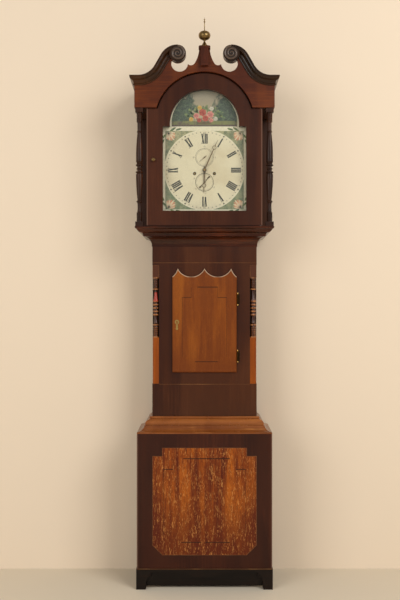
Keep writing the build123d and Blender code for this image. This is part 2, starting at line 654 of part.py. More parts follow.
def finial_plinth():
    """Reeded block in the middle of the pediment, under a bevelled cap that carries the finial."""
    low = Z_FRIEZE + PLINTH_LOW
    top = Z_FRIEZE + PLINTH_TOP
    front = Y_FRIEZE - CORNICE_OUT + 3
    body = block(-PLINTH_HALF, PLINTH_HALF, front, Y_FRIEZE, low, top - CAP_T)
    reeds = 4
    pitch = 2 * PLINTH_HALF / reeds
    for k in range(1, reeds):
        groove = block(-0.9, 0.9, front - 1, front + 1.4, low + 8, top - CAP_T - 3)
        body -= Pos(-PLINTH_HALF + k * pitch, 0, 0) * groove
    cap = block(-CAP_HALF, CAP_HALF, front - 2, Y_FRIEZE + PEDIMENT_T, top - CAP_T, top)
    return body + chamfer(cap.faces().sort_by(Axis.Z)[-1].edges(), 4.5)


def finial():
    """Brass ball on a cone, with a beaded spire."""
    z = Z_FRIEZE + PLINTH_TOP
    face = profile((0, z), (14.5, z), (14.5, z + 1.5), (3.6, z + 20, -1.0), (3.6, z + 24), (8, z + 26.5, 1.0),
                   (8, z + 62.5, 16.5), (4.5, z + 64.5), (1.8, z + 70, -1.2), (1.5, z + 98), (1.5, z + 104, 2.2),
                   (1.3, z + 107), (1.3, z + 112, 1.9), (0.9, z + 113), (0.4, z + FINIAL_HEIGHT),
                   (0, z + FINIAL_HEIGHT))
    return Pos(0, Y_FRIEZE + 2, 0) * turned(face)


def hood_columns():
    """Turned baluster columns at the hood's front corners, square at each end."""
    z = Z_LEDGE
    top = Z_FRIEZE
    h = top - z
    steps = [(11, z + 18)]
    for ring in range(6):
        low = z + 21 + ring * 6
        steps += [(10.5, low), (10.5, low + 5, 1.4)]
    steps += [(8.5, z + 60), (8, z + 94, -0.5), (10, z + 98), (10, z + 104, 2.5), (8, z + 108),
              (14.2, z + 214, 1.5), (11, z + 216), (11, z + 218), (12.5, z + 219), (12.5, z + 226, 3.0), (9, z + 228),
              (9, z + 232), (10.5, z + 234), (10.5, z + 239, 2.0), (9, z + 241), (9, z + 246), (12.5, z + 248),
              (12.5, z + 255, 3.0), (11, z + 258), (14.4, z + 268), (14.4, z + 271), (13.8, z + 273),
              (8, z + 386, 2.0), (10, z + 388), (10, z + 391, 1.0), (8.3, z + 393), (8.3, z + 426), (10, z + 428)]
    for ring in range(6):
        low = z + 431 + ring * 6
        steps += [(10.5, low), (10.5, low + 5, 1.5)]
    steps += [(12, top - 18), (0, top - 18)]
    column = turned(profile((0, z + 18), *steps))
    column += block(-BLOCK, BLOCK, -BLOCK, BLOCK, z, z + 18)
    column += block(-BLOCK, BLOCK, -BLOCK, BLOCK, top - 18, top)
    return mirrored(Pos(COLUMN_X, Y_TRUNK - COLUMN_OUT, 0) * column)


# ---------------------------------------------------------------- hood door
def pivot_axis():
    """Hood door's pivot, in plan."""
    return (HOOD_HALF - PIVOT_IN, Y_HOOD_DOOR + 2.25)


def hood_door():
    """Break-arch door frame with a rebate behind for the glass."""
    top = Z_FRIEZE - 2
    low = Z_LEDGE + 2.5
    arch = Pos(0, Z_ARCH) * Circle(ARCH_R - ARCH_GAP)
    arch -= block_face(-ARCH_R, ARCH_R, Z_ARCH - ARCH_R, top - 1)
    outline = block_face(-HOOD_HALF, HOOD_HALF, low, top) + arch
    back = Y_HOOD_DOOR + HOOD_DOOR_T
    door = upright(outline - sight(0), Y_HOOD_DOOR, back - 8)
    door += upright(outline - sight(REBATE), back - 8, back)
    x, y = pivot_axis()
    hole = Pos(x, y, low + 5) * Cylinder(PIVOT_R, 10) + Pos(x, y, top - 5) * Cylinder(PIVOT_R, 10)
    return door - hole


def hood_door_glass():
    """Clear glass in the rebate."""
    back = Y_HOOD_DOOR + HOOD_DOOR_T
    return upright(sight(REBATE - 0.5), back - 8, back - 8 + GLASS_T)


def hood_door_pull():
    """Small turned knob."""
    face = profile((0, 0), (5, 0), (5, 1.5), (3, 3), (3, 6), (6.5, 9, 0.5), (6.5, 11, 1.0), (3, 14, 0.8), (0, 14))
    knob = Rot(90, 0, 0) * turned(face)
    return Pos(-HOOD_HALF + 28, Y_HOOD_DOOR, Z_DIAL + 37) * knob


def hood_door_pivots():
    """Steel pivot pins, let into the door's top and foot."""
    x, y = pivot_axis()
    low = Z_LEDGE + 2.5
    top = Z_FRIEZE - 2
    return [Pos(x, y, low) * Cylinder(PIVOT_R, 20), Pos(x, y, top) * Cylinder(PIVOT_R, 20)]


# ---------------------------------------------------------------- movement, drawn about the dial centre
# In these functions X and Z start at the dial's centre and Y starts at the front plate's face.
def teeth(count, module, form, at):
    """A toothed disc with one tooth pointing at an angle."""
    r = count * module / 2
    pitch = math.pi * module
    rings = ((r - form["dedendum"] * module, form["root"]), (r, form["pitch"]),
             (r + form["addendum"] * module, form["tip"]))
    points = []
    for k in range(count):
        centre = math.radians(at) + 2 * math.pi * k / count
        for radius, share in rings:
            points.append((radius, centre - share * pitch / 2 / radius))
        for radius, share in reversed(rings):
            points.append((radius, centre + share * pitch / 2 / radius))
    return make_face(Polyline(*[(r * math.cos(a), r * math.sin(a)) for r, a in points], close=True))


def crossed(face, root, hub, spokes):
    """A wheel blank crossed out between its rim and its hub."""
    rim = root - max(2.0, root * 0.11)
    spoke = Rectangle(2 * rim + 1, max(2.2, root * 0.1))
    arms = Circle(hub)
    for k in range(spokes // 2):
        arms += Rot(0, 0, 180 * k / (spokes // 2)) * spoke
    return face - Circle(rim) + (arms & Circle(rim + 0.5))


def wheel(x, z, y0, y1, count, module, at, spokes=4):
    """A crossed brass wheel."""
    face = teeth(count, module, WHEEL_TOOTH, at)
    root = count * module / 2 - WHEEL_TOOTH["dedendum"] * module
    return Pos(x, 0, z) * upright(crossed(face, root, 7.0, spokes), y0, y1)


def pinion(x, z, y0, y1, count, module, at):
    """A steel pinion."""
    return Pos(x, 0, z) * upright(teeth(count, module, LEAF_TOOTH, at), y0, y1)


def arbor(x, z, front=0.0):
    """An arbor between the plates, with a pivot in each, and any length before the front plate."""
    shaft = rod(x, z, PLATE_T + GAP, PLATE_T + PLATE_GAP - GAP, ARBOR_R)
    return shaft + rod(x, z, -front, 2 * PLATE_T + PLATE_GAP, TIP_R)


def towards(a, b):
    """Angle in degrees from one centre to another."""
    return math.degrees(math.atan2(b[1] - a[1], b[0] - a[0]))


def gap_at(count, angle):
    """Where a wheel's tooth points when a gap between teeth is at an angle."""
    return angle + 180 / count


def centre_by(first, near, second, far, side):
    """The point at two distances from two centres, on one side of the line between them."""
    dx = second[0] - first[0]
    dz = second[1] - first[1]
    span = math.hypot(dx, dz)
    along = (near ** 2 - far ** 2 + span ** 2) / (2 * span)
    across = side * math.sqrt(near ** 2 - along ** 2)
    return (first[0] + (along * dx - across * dz) / span, first[1] + (along * dz + across * dx) / span)


# wheel counts, pinion counts and the modules that follow from the centres
GREAT, CENTRE_LEAVES = 96, 8
CENTRE, THIRD_LEAVES = 60, 8
THIRD, ESCAPE_LEAVES = 56, 7
STRIKE_GREAT, PIN_LEAVES = 78, 8
PIN, GATHER_LEAVES = 56, 7
GATHER, WARN_LEAVES = 56, 7
WARN, FLY_LEAVES = 48, 6
CANNON = 36
HOUR, MINUTE_LEAVES = 72, 6
DATE_TEETH = 62
CENTRE_MODULE = 0.9
THIRD_MODULE = 0.85
STRIKE_MODULE = 0.9
PIN_MODULE = 0.8
GATHER_MODULE = 0.75
WARN_MODULE = 0.8
CANNON_MODULE = 0.9
DATE_MODULE = 0.8

C_CENTRE = (0.0, 0.0)
C_GOING = (WIND_X, -WIND_DROP)
C_STRIKE = (-WIND_X, -WIND_DROP)
C_ESCAPE = (0.0, SECONDS_RISE)
C_PALLET = (0.0, PALLET_Z)
GREAT_MODULE = 2 * math.dist(C_CENTRE, C_GOING) / (GREAT + CENTRE_LEAVES)
C_THIRD = centre_by(C_CENTRE, (CENTRE + THIRD_LEAVES) / 2 * CENTRE_MODULE,
                    C_ESCAPE, (THIRD + ESCAPE_LEAVES) / 2 * THIRD_MODULE, -1)
MINUTE_REACH = CANNON * CANNON_MODULE
HOUR_MODULE = 2 * MINUTE_REACH / (HOUR + MINUTE_LEAVES)
C_MINUTE = (MINUTE_REACH * math.cos(math.radians(45)), MINUTE_REACH * math.sin(math.radians(45)))
C_DATE = (0.0, -DATE_DROP)


def step_from(centre, count, leaves, module, angle):
    """The next arbor up a train, at an angle from this one."""
    reach = (count + leaves) / 2 * module
    return (centre[0] + reach * math.cos(math.radians(angle)), centre[1] + reach * math.sin(math.radians(angle)))


C_PIN = step_from(C_STRIKE, STRIKE_GREAT, PIN_LEAVES, STRIKE_MODULE, 99)
C_GATHER = step_from(C_PIN, PIN, GATHER_LEAVES, PIN_MODULE, 57.6)
C_WARN = step_from(C_GATHER, GATHER, WARN_LEAVES, GATHER_MODULE, 119)
C_FLY = step_from(C_WARN, WARN, FLY_LEAVES, WARN_MODULE, 61.5)
C_HAMMER = (-60.0, 47.0)
# the pillar at the top left stands inside the hammer's sweep
PILLARS = ((-59, -62), (59, -62), (59, 91), (-17, 93))


def barrel(centre, great, module, target):
    """Great wheel, barrel and winding square on one arbor."""
    x, z = centre
    back = BARREL_FRONT + BARREL_LENGTH
    part = wheel(x, z, 6, 8.5, great, module, towards(centre, target), 6)
    part += rod(x, z, 6, BARREL_FRONT, BARREL_R - 6)
    part += rod(x, z, BARREL_FRONT, back, BARREL_R) + rod(x, z, back, back + 2, BARREL_R + 2)
    part += rod(x, z, PLATE_T + GAP, PLATE_T + PLATE_GAP - GAP, 4.0)
    part += rod(x, z, 0, 2 * PLATE_T + PLATE_GAP, 3.5)
    return part + Pos(x, -MOTION_GAP / 2, z) * Box(WIND_SQUARE, MOTION_GAP, WIND_SQUARE)


def centre_wheel():
    """Centre pinion and wheel, with the long front arbor that carries the hands."""
    part = arbor(*C_CENTRE, 54) + rod(0, 0, -54, -0.5, 2.0)
    part += pinion(0, 0, 4, 12, CENTRE_LEAVES, GREAT_MODULE, gap_at(CENTRE_LEAVES, towards(C_CENTRE, C_GOING)))
    part += wheel(0, 0, 53, 55, CENTRE, CENTRE_MODULE, towards(C_CENTRE, C_THIRD))
    return part


def third_wheel():
    """Third pinion and wheel."""
    x, z = C_THIRD
    part = arbor(x, z)
    part += pinion(x, z, 51, 57, THIRD_LEAVES, CENTRE_MODULE, gap_at(THIRD_LEAVES, towards(C_THIRD, C_CENTRE)))
    part += wheel(x, z, 27, 29, THIRD, THIRD_MODULE, towards(C_THIRD, C_ESCAPE))
    return part


def escape_wheel():
    """Escape pinion and recoil escape wheel, with the front arbor for the seconds hand."""
    x, z = C_ESCAPE
    part = arbor(x, z) + rod(x, z, -46.5, 0, 1.2)
    part += pinion(x, z, 24, 32, ESCAPE_LEAVES, THIRD_MODULE, gap_at(ESCAPE_LEAVES, towards(C_ESCAPE, C_THIRD)))
    points = []
    for k in range(ESCAPE_TEETH):
        a = 2 * math.pi * k / ESCAPE_TEETH
        for radius, turn in ((ESCAPE_R - 4, 0.0), (ESCAPE_R - 4, 0.085), (ESCAPE_R, 0.13), (ESCAPE_R, 0.15)):
            points.append((radius * math.cos(a + turn), radius * math.sin(a + turn)))
    face = crossed(make_face(Polyline(*points, close=True)), ESCAPE_R - 4, 5.0, 4)
    return part + Pos(x, 0, z) * upright(face, 50, 51.5)


def anchor():
    """Recoil anchor and its arbor, with the crutch behind the back plate."""
    x, z = C_PALLET
    inner = ESCAPE_R + 1.8
    ring = Pos(*C_ESCAPE) * (Circle(inner + 4) - Circle(inner))
    span = Pos(*C_ESCAPE) * make_face(Polyline((0, 0), (40, 42), (-40, 42), close=True))
    part = upright((ring & span) + Pos(x, z) * Circle(4.5), 49.5, 52)
    cock = 2 * PLATE_T + PLATE_GAP + 13
    part += rod(x, z, PLATE_T + GAP, cock - GAP, 2.0) + rod(x, z, 0, cock + PLATE_T, TIP_R)
    end = z - 100
    part += block(-2, 2, cock - 10, cock - 8, end, z)
    part += block(-6, 6, cock - 10, cock - 8, end - 5, end)
    prong = block(ROD_R + 0.5, 6, cock - 10, PENDULUM_Y + 5, end - 5, end)
    return part + prong + mirror(prong, Plane.YZ)


def front_plate():
    """Front plate, drilled for the arbors, with the studs of the minute and date wheels."""
    face = block_face(-PLATE_HALF, PLATE_HALF, -PLATE_LOW, PLATE_HIGH)
    for centre in (C_CENTRE, C_THIRD, C_ESCAPE, C_PALLET, C_PIN, C_GATHER, C_WARN, C_FLY, C_HAMMER):
        face -= Pos(*centre) * Circle(TIP_R + RUN)
    for centre in (C_GOING, C_STRIKE):
        face -= Pos(*centre) * Circle(3.5 + RUN)
    part = upright(face, 0, PLATE_T) - rod(0, 0, -1, PLATE_T + 1, 2.0 + RUN)
    part += rod(*C_MINUTE, -14, 0, STUD_R)
    return part + rod(*C_DATE, -26, 0, 3.0) + rod(*C_DATE, -44, -26, 1.2)


def back_plate():
    """Back plate with four riveted pillars."""
    face = block_face(-PLATE_HALF, PLATE_HALF, -PLATE_LOW, PLATE_HIGH)
    for centre in (C_CENTRE, C_THIRD, C_ESCAPE, C_PIN, C_GATHER, C_WARN, C_FLY, C_HAMMER):
        face -= Pos(*centre) * Circle(TIP_R + RUN)
    for centre in (C_GOING, C_STRIKE):
        face -= Pos(*centre) * Circle(3.5 + RUN)
    face -= Pos(*C_PALLET) * Circle(4.0)
    part = upright(face, PLATE_T + PLATE_GAP, 2 * PLATE_T + PLATE_GAP)
    pillar = turned(profile((0, 0), (PILLAR_R, 0), (PILLAR_R, 4, 1.0), (3.6, 8), (PILLAR_R, PLATE_GAP / 2, 0.6),
                            (3.6, PLATE_GAP - 8, 0.6), (PILLAR_R, PLATE_GAP - 4), (PILLAR_R, PLATE_GAP, 1.0),
                            (0, PLATE_GAP)))
    for x, z in PILLARS:
        part += Pos(x, PLATE_T + PLATE_GAP, z) * Rot(90, 0, 0) * pillar
    return part


def back_cock():
    """Cock for the rear pivot of the pallet arbor, with the grooved arm that the pendulum hangs from."""
    near = 2 * PLATE_T + PLATE_GAP
    cock = near + 13
    x, z = C_PALLET
    part = block(-14, 14, cock, cock + PLATE_T, z - 32, z + 10)
    for x0 in (-14, 7):
        part += block(x0, x0 + 7, near, cock, z - 32, z - 22)
    part += block(-8, 8, cock + PLATE_T, PENDULUM_Y + 8, z - 7, z)
    part -= rod(x, z, cock - 1, cock + PLATE_T, TIP_R + RUN)
    part -= rod(x, z, cock + PLATE_T, PENDULUM_Y + 9, 2.0 + RUN)
    return part - block(-1.4, 1.4, cock + PLATE_T + 2, PENDULUM_Y + 9, z - 8, z)


def pendulum_rod():
    """Suspension spring with its trunnion, brass tail block, and the long rod."""
    z = PALLET_Z
    y = PENDULUM_Y
    part = rod(0, z, y - 6, y + 6, 2.0)
    part += block(-0.4, 0.4, y - 5, y + 5, z - 50, z)
    part += block(-3.5, 3.5, y - 6, y + 6, z - 62, z - 48)
    length = PENDULUM + BOB_R + 26 - 60
    return part + Pos(0, y, z - 60 - length / 2) * Cylinder(ROD_R, length)


def pendulum_bob():
    """Lens-shaped bob with its rating nut below."""
    half = BOB_T / 2
    face = profile((0, -half), (BOB_R, -1.5, 3.0), (BOB_R, 1.5), (0, half, 3.0))
    centre = PALLET_Z - PENDULUM
    bob = Pos(0, PENDULUM_Y, centre) * Rot(90, 0, 0) * turned(face)
    nut = Pos(0, PENDULUM_Y, centre - BOB_R - 5) * Cylinder(8, 7)
    hole = Pos(0, PENDULUM_Y, centre) * Cylinder(ROD_R, 3 * BOB_R)
    return [bob - hole, nut - hole]


def cannon_wheel():
    """Cannon: toothed wheel and the long pipe of the minute hand."""
    part = wheel(0, 0, -6, -4, CANNON, CANNON_MODULE, towards(C_CENTRE, C_MINUTE)) + rod(0, 0, -52.8, -3, 3.2)
    part += rod(0, 0, -57, -54, 4.0)
    return [solid - rod(0, 0, -60, 0, 2.0) for solid in part.solids()]


def minute_wheel():
    """Minute wheel and its pinion, running on a stud."""
    x, z = C_MINUTE
    back = towards(C_MINUTE, C_CENTRE)
    part = wheel(x, z, -6, -4, CANNON, CANNON_MODULE, gap_at(CANNON, back))
    part += pinion(x, z, -13, -6, MINUTE_LEAVES, HOUR_MODULE, gap_at(MINUTE_LEAVES, back))
    return part - rod(x, z, -20, 0, STUD_R + RUN)


def snail():
    """Twelve-stepped snail that sets the number of blows."""
    points = []
    for k in range(12):
        radius = 25 - 1.1 * k
        for part in (0, 0.5, 1):
            a = math.radians(90 - 30 * (k + part))
            points.append((radius * math.cos(a), radius * math.sin(a)))
    return make_face(Polyline(*points, close=True))


def hour_wheel():
    """Hour wheel with its snail and pipe."""
    part = wheel(0, 0, -12, -10, HOUR, HOUR_MODULE, towards(C_CENTRE, C_MINUTE), 6)
    part += upright(snail(), -14.5, -12)
    part += rod(0, 0, -48.2, -7, 4.6)
    return part - rod(0, 0, -60, 0, 3.2 + RUN)


def hand(length, ring_at, ring_r, boss, stem):
    """A pierced hand pointing up: tapered stem, open ring and a long tip."""
    shape = make_face(Polyline((-stem, 0), (stem, 0), (stem * 0.55, ring_at - ring_r), (-stem * 0.55, ring_at - ring_r),
                               close=True))
    tip = ring_at + ring_r
    shape += make_face(Polyline((-1.6, tip - 1), (1.6, tip - 1), (0.5, length), (-0.5, length), close=True))
    shape += Pos(0, ring_at) * Circle(ring_r) - Pos(0, ring_at) * Circle(ring_r - 2.2)
    return shape + Circle(boss)


def set_at(part, angle, centre=(0.0, 0.0)):
    """Turns a hand clockwise about its own centre and carries it there."""
    return Pos(centre[0], 0, centre[1]) * Rot(0, angle, 0) * part


def minute_hand():
    """Minute hand."""
    shape = hand(MINUTE_LENGTH, MINUTE_LENGTH * 0.74, 8.5, 6.5, 3.0) - Circle(2.0)
    return set_at(upright(shape, -54, -52.8), MINUTE_AT)


def hour_hand():
    """Hour hand."""
    shape = hand(HOUR_LENGTH, HOUR_LENGTH * 0.66, 8.5, 8.0, 3.6) - Circle(4.6)
    return set_at(upright(shape, -48.2, -47), HOUR_AT)


def seconds_hand():
    """Seconds hand with a short tail."""
    shape = make_face(Polyline((-1.4, -10), (1.4, -10), (0.4, SECOND_LENGTH), (-0.4, SECOND_LENGTH), close=True))
    shape = shape + Circle(3.2) - Circle(1.2)
    return set_at(upright(shape, -46.5, -45.5), SECOND_AT, C_ESCAPE)


def date_hand():
    """Date hand on the pipe of its wheel."""
    tip = DATE_LENGTH
    shape = make_face(Polyline((-1.1, -12), (1.1, -12), (0.8, tip - 8), (3.4, tip - 9), (0.3, tip), (-0.3, tip),
                               (-3.4, tip - 9), (-0.8, tip - 8), close=True)) + Circle(3.6)
    part = set_at(upright(shape, -45.6, -44.8), DATE_AT, C_DATE)
    part += wheel(*C_DATE, -31, -29.5, DATE_TEETH, DATE_MODULE, 0) + rod(*C_DATE, -46.0, -26.5, 2.5)
    return part - rod(*C_DATE, -60, -20, 1.2 + RUN)


def pin_wheel():
    """Pin wheel with its pinion and eight hammer pins."""
    x, z = C_PIN
    part = arbor(x, z)
    part += pinion(x, z, 4, 12, PIN_LEAVES, STRIKE_MODULE, gap_at(PIN_LEAVES, towards(C_PIN, C_STRIKE)))
    part += wheel(x, z, 53, 55, PIN, PIN_MODULE, towards(C_PIN, C_GATHER))
    for k in range(8):
        a = 2 * math.pi * (k + 0.5) / 8
        part += rod(x + 19.4 * math.cos(a), z + 19.4 * math.sin(a), 54, 60, 0.9)
    return part


def gathering_wheel():
    """Gathering-pallet wheel and pinion."""
    x, z = C_GATHER
    part = arbor(x, z)
    part += pinion(x, z, 50, 57, GATHER_LEAVES, PIN_MODULE, gap_at(GATHER_LEAVES, towards(C_GATHER, C_PIN)))
    return part + wheel(x, z, 20, 22, GATHER, GATHER_MODULE, towards(C_GATHER, C_WARN))


def warning_wheel():
    """Warning wheel and pinion."""
    x, z = C_WARN
    part = arbor(x, z)
    part += pinion(x, z, 17, 25, WARN_LEAVES, GATHER_MODULE, gap_at(WARN_LEAVES, towards(C_WARN, C_GATHER)))
    return part + wheel(x, z, 38, 39.5, WARN, WARN_MODULE, towards(C_WARN, C_FLY))


def fly():
    """Fly with its pinion, which steadies the striking."""
    x, z = C_FLY
    part = rod(x, z, PLATE_T + GAP, PLATE_T + PLATE_GAP - GAP, 1.4) + rod(x, z, 0, 2 * PLATE_T + PLATE_GAP, TIP_R)
    part += pinion(x, z, 35, 42, FLY_LEAVES, WARN_MODULE, gap_at(FLY_LEAVES, towards(C_FLY, C_WARN)))
    return part + Pos(x, 19, z) * Rot(0, 30, 0) * Box(27, 22, 1.0)


def hammer():
    """Hammer with its arbor, its lifting tail and its head beside the bell."""
    x, z = C_HAMMER
    part = arbor(x, z)
    face_x = BELL_X - BELL_R - 2.5
    head_z = BELL_LOW + 6
    top = (face_x - 6, head_z)
    angle = towards(C_HAMMER, top)
    length = math.dist(C_HAMMER, top)
    stem = Pos(length / 2, 0) * Rectangle(length, 3.5)
    part += Pos(x, 0, z) * upright(Rot(0, 0, angle) * stem, BELL_Y - 1, BELL_Y + 1)
    part += Pos(top[0], BELL_Y, top[1]) * Rot(0, 90, 0) * Cylinder(6, 12)
    tail = make_face(Polyline((0, -2), (12, -1), (12, 1), (0, 2), close=True))
    return part + Pos(x, 0, z) * upright(tail, 56, 59)


def bell():
    """Cast bell, mouth down."""
    t = 2.2
    top = BELL_LOW + BELL_HEIGHT
    face = profile((BELL_R, BELL_LOW), (BELL_R - 7, top - 9, 2.5), (9, top, 5.0), (2.7, top), (2.7, top - t), (9, top - t),
                   (BELL_R - 8.5, top - 10.5, -4.4), (BELL_R - t, BELL_LOW, -2.5))
    return Pos(BELL_X, BELL_Y, 0) * turned(face)


def bell_stand():
    """Stand from the back plate up inside the bell, with its stud and nut."""
    near = 2 * PLATE_T + PLATE_GAP
    arm = BELL_LOW + BELL_HEIGHT - 12
    crown = BELL_LOW + BELL_HEIGHT
    part = block(BELL_X + 4, BELL_X + 16, near, near + 3, 62, arm + 3)
    part += block(BELL_X - 6, BELL_X + 16, BELL_Y - 6, near + 3, arm, arm + 3)
    part += Pos(BELL_X, BELL_Y, (arm + crown + 8) / 2) * Cylinder(2.5, crown + 8 - arm)
    part += Pos(BELL_X, BELL_Y, (arm + crown - 2.2) / 2) * Cylinder(5.0, crown - 2.2 - arm)
    return part + Pos(BELL_X, BELL_Y, crown + 2.5) * Cylinder(6.0, 5)


def seatboard():
    """Board across the cheeks that carries the movement, bored for the lines."""
    y0 = -8.0
    low = -PLATE_LOW - SEAT_T
    board = block(-TRUNK_HALF, TRUNK_HALF, y0, y0 + SEAT_DEPTH, low, -PLATE_LOW)
    for side in (-1, 1):
        board -= Pos(side * LINE_X, LINE_Y, low + SEAT_T / 2) * Cylinder(5.0, 2 * SEAT_T)
        board -= Pos(side * (LINE_X + 2 * SHEAVE_R), LINE_Y, low + SEAT_T / 2) * Cylinder(LINE_R, 2 * SEAT_T)
    return board


def line_tops():
    """Fixed top ends of the gut lines: barrel to seatboard, and the tied ends with their pegs."""
    low = -PLATE_LOW - SEAT_T
    parts = []
    for side in (-1, 1):
        x = side * LINE_X
        parts.append(Pos(x, LINE_Y, (low - WIND_DROP) / 2) * Cylinder(LINE_R, -WIND_DROP - low))
        x = side * (LINE_X + 2 * SHEAVE_R)
        tied = Pos(x, LINE_Y, (low - PLATE_LOW) / 2) * Cylinder(LINE_R, SEAT_T)
        parts.append(tied + rod(x, 3.0 - PLATE_LOW, LINE_Y - 10, LINE_Y + 10, 3.0))
    return parts


def line(side):
    """Two falls of gut from the seatboard to the pulley."""
    top = -PLATE_LOW - SEAT_T
    low = sheave_z()
    return [Pos(side * x, LINE_Y, (top + low) / 2) * Cylinder(LINE_R, top - low)
            for x in (LINE_X, LINE_X + 2 * SHEAVE_R)]


def sheave_z():
    """Height of the pulley's centre, from the dial centre."""
    return WEIGHT_LOW + WEIGHT_LENGTH + 74 - Z_DIAL


def weight(side):
    """Cast weight with its hook, stirrup and pulley."""
    x = side * (LINE_X + SHEAVE_R)
    z = sheave_z()
    low = z - 74 - WEIGHT_LENGTH
    r = WEIGHT_R
    body = turned(profile((0, low), (r - 3, low), (r, low + 3, 0.9), (r, low + WEIGHT_LENGTH - 6),
                          (r - 6, low + WEIGHT_LENGTH, 2.0), (0, low + WEIGHT_LENGTH)))
    eye = Pos(0, 0, z - 68) * Rot(90, 0, 0) * Torus(7, 1.8)
    body = Pos(x, LINE_Y, 0) * (body + eye)
    strap = block(-5, 5, -7, -5.4, z - 46, z + 6) + block(-5, 5, 5.4, 7, z - 46, z + 6)
    strap += block(-5, 5, -7, 7, z - 48, z - 46) + Pos(0, 0, z - 56) * Rot(90, 0, 90) * Torus(7, 1.6)
    strap += rod(0, z, -8, 8, 2.0)
    strap = Pos(x, LINE_Y, 0) * strap
    deep = 1.67 * LINE_R
    groove = profile((2.2, -4), (SHEAVE_R + 2, -4), (SHEAVE_R + 2, -3), (SHEAVE_R - deep, 0), (SHEAVE_R + 2, 3),
                     (SHEAVE_R + 2, 4), (2.2, 4))
    sheave = Pos(x, LINE_Y, z) * Rot(90, 0, 0) * turned(groove)
    wrap = Rot(90, 0, 0) * Torus(SHEAVE_R, LINE_R) & block(-2 * SHEAVE_R, 2 * SHEAVE_R, -2, 2, -2 * SHEAVE_R, 0)
    return [body, strap, sheave, Pos(x, LINE_Y, z) * wrap]


# ---------------------------------------------------------------- dial
def dial_plate():
    """Break-arch dial with its four feet."""
    z = Z_DIAL
    face = block_face(-DIAL_HALF, DIAL_HALF, z - DIAL_HALF, z + DIAL_HALF)
    face += Pos(0, z + SIGHT_ARCH) * Circle(DIAL_ARCH_R)
    face -= Pos(0, z) * Circle(6.0)
    face -= Pos(0, z + SECONDS_RISE) * Circle(2.5)
    face -= Pos(0, z - DATE_DROP) * Circle(3.2)
    for x in (-WIND_X, WIND_X):
        face -= Pos(x, z - WIND_DROP) * Circle(7.0)
    plate = upright(face, Y_DIAL, Y_DIAL + DIAL_T)
    for x in (-60, 60):
        for foot in (-68, 92):
            plate += rod(x, z + foot, Y_DIAL + DIAL_T / 2, Y_PLATE, 3.0)
    return plate


def placed(parts):
    """Carries movement pieces from the dial centre's frame to the clock's."""
    move = Pos(0, Y_PLATE, Z_DIAL)
    if isinstance(parts, list):
        return [move * part for part in parts]
    return move * parts


def main():
    """Writes every node."""
    for make in (backboard, case_boards, base_frame, base_panel, plinth_skirt, base_moulding, trunk_front,
                 trunk_columns, column_stops, throat_moulding, trunk_hinge_leaves, trunk_door, trunk_door_lock,
                 door_hinge_leaves, hood_base, hood_carcass, dial_mask, pediment_board, swan_necks,
                 scroll_rosettes, finial_plinth, finial, hood_columns, hood_door, hood_door_glass,
                 hood_door_pull, hood_door_pivots, dial_plate):
        save(make.__name__, make())
    for make in (centre_wheel, third_wheel, escape_wheel, anchor, front_plate, back_plate, back_cock,
                 pendulum_rod, pendulum_bob, cannon_wheel, minute_wheel, hour_wheel, minute_hand, hour_hand,
                 seconds_hand, date_hand, pin_wheel, gathering_wheel, warning_wheel, fly, hammer, bell,
                 bell_stand, seatboard, line_tops):
        save(make.__name__, placed(make()))
    save("going_barrel", placed(barrel(C_GOING, GREAT, GREAT_MODULE, C_CENTRE)))
    save("strike_barrel", placed(barrel(C_STRIKE, STRIKE_GREAT, STRIKE_MODULE, C_PIN)))
    save("going_line", placed(line(1)))
    save("strike_line", placed(line(-1)))
    save("going_weight", placed(weight(1)))
    save("strike_weight", placed(weight(-1)))


main()
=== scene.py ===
"""Looks of an eight-day longcase clock: polish, inlay, painted dial, carving and fittings.

Lengths in the sizes below are millimetres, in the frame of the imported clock.
"""

from __future__ import annotations

import logging
import math
from dataclasses import dataclass, field
from enum import Enum
from typing import Iterable, Optional, Sequence, Union

import bpy
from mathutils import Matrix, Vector

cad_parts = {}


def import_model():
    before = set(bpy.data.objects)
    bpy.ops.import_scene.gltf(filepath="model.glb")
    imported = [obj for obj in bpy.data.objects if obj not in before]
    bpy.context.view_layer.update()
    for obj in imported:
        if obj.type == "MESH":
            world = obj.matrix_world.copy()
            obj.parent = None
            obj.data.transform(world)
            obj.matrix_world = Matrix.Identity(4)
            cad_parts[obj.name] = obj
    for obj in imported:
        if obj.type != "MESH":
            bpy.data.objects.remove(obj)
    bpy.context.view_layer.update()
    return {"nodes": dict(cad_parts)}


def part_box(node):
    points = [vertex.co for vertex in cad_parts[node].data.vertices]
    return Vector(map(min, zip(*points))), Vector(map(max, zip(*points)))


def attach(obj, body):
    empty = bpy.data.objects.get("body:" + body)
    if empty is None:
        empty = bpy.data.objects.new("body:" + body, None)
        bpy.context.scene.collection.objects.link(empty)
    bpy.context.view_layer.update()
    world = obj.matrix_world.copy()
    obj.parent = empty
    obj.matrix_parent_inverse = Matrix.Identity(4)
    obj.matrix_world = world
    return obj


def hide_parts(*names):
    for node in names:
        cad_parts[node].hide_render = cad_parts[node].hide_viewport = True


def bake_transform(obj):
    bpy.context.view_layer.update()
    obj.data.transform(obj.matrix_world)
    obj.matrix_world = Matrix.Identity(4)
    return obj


log = logging.getLogger("longcase_clock")

MM = 0.001
Point = tuple[float, float]
Colour = tuple[int, int, int]
Bar = tuple[Point, Point, float]
Oval = tuple[float, float, float, float, float]
Number = Union["Wire", float]
Tone = Union["Wire", Colour]


def paint(colour: Colour) -> tuple[float, float, float, float]:
    """Turns a colour as seen on a screen, by the sRGB curve, into the linear values that shaders use.

    Args:
        colour: Its red, green and blue, up to 255.

    Returns:
        The same in linear light, with full alpha.
    """
    shares = [part / 255 for part in colour]
    red, green, blue = (s / 12.92 if s <= 0.04045 else ((s + 0.055) / 1.055) ** 2.4 for s in shares)
    return (red, green, blue, 1.0)


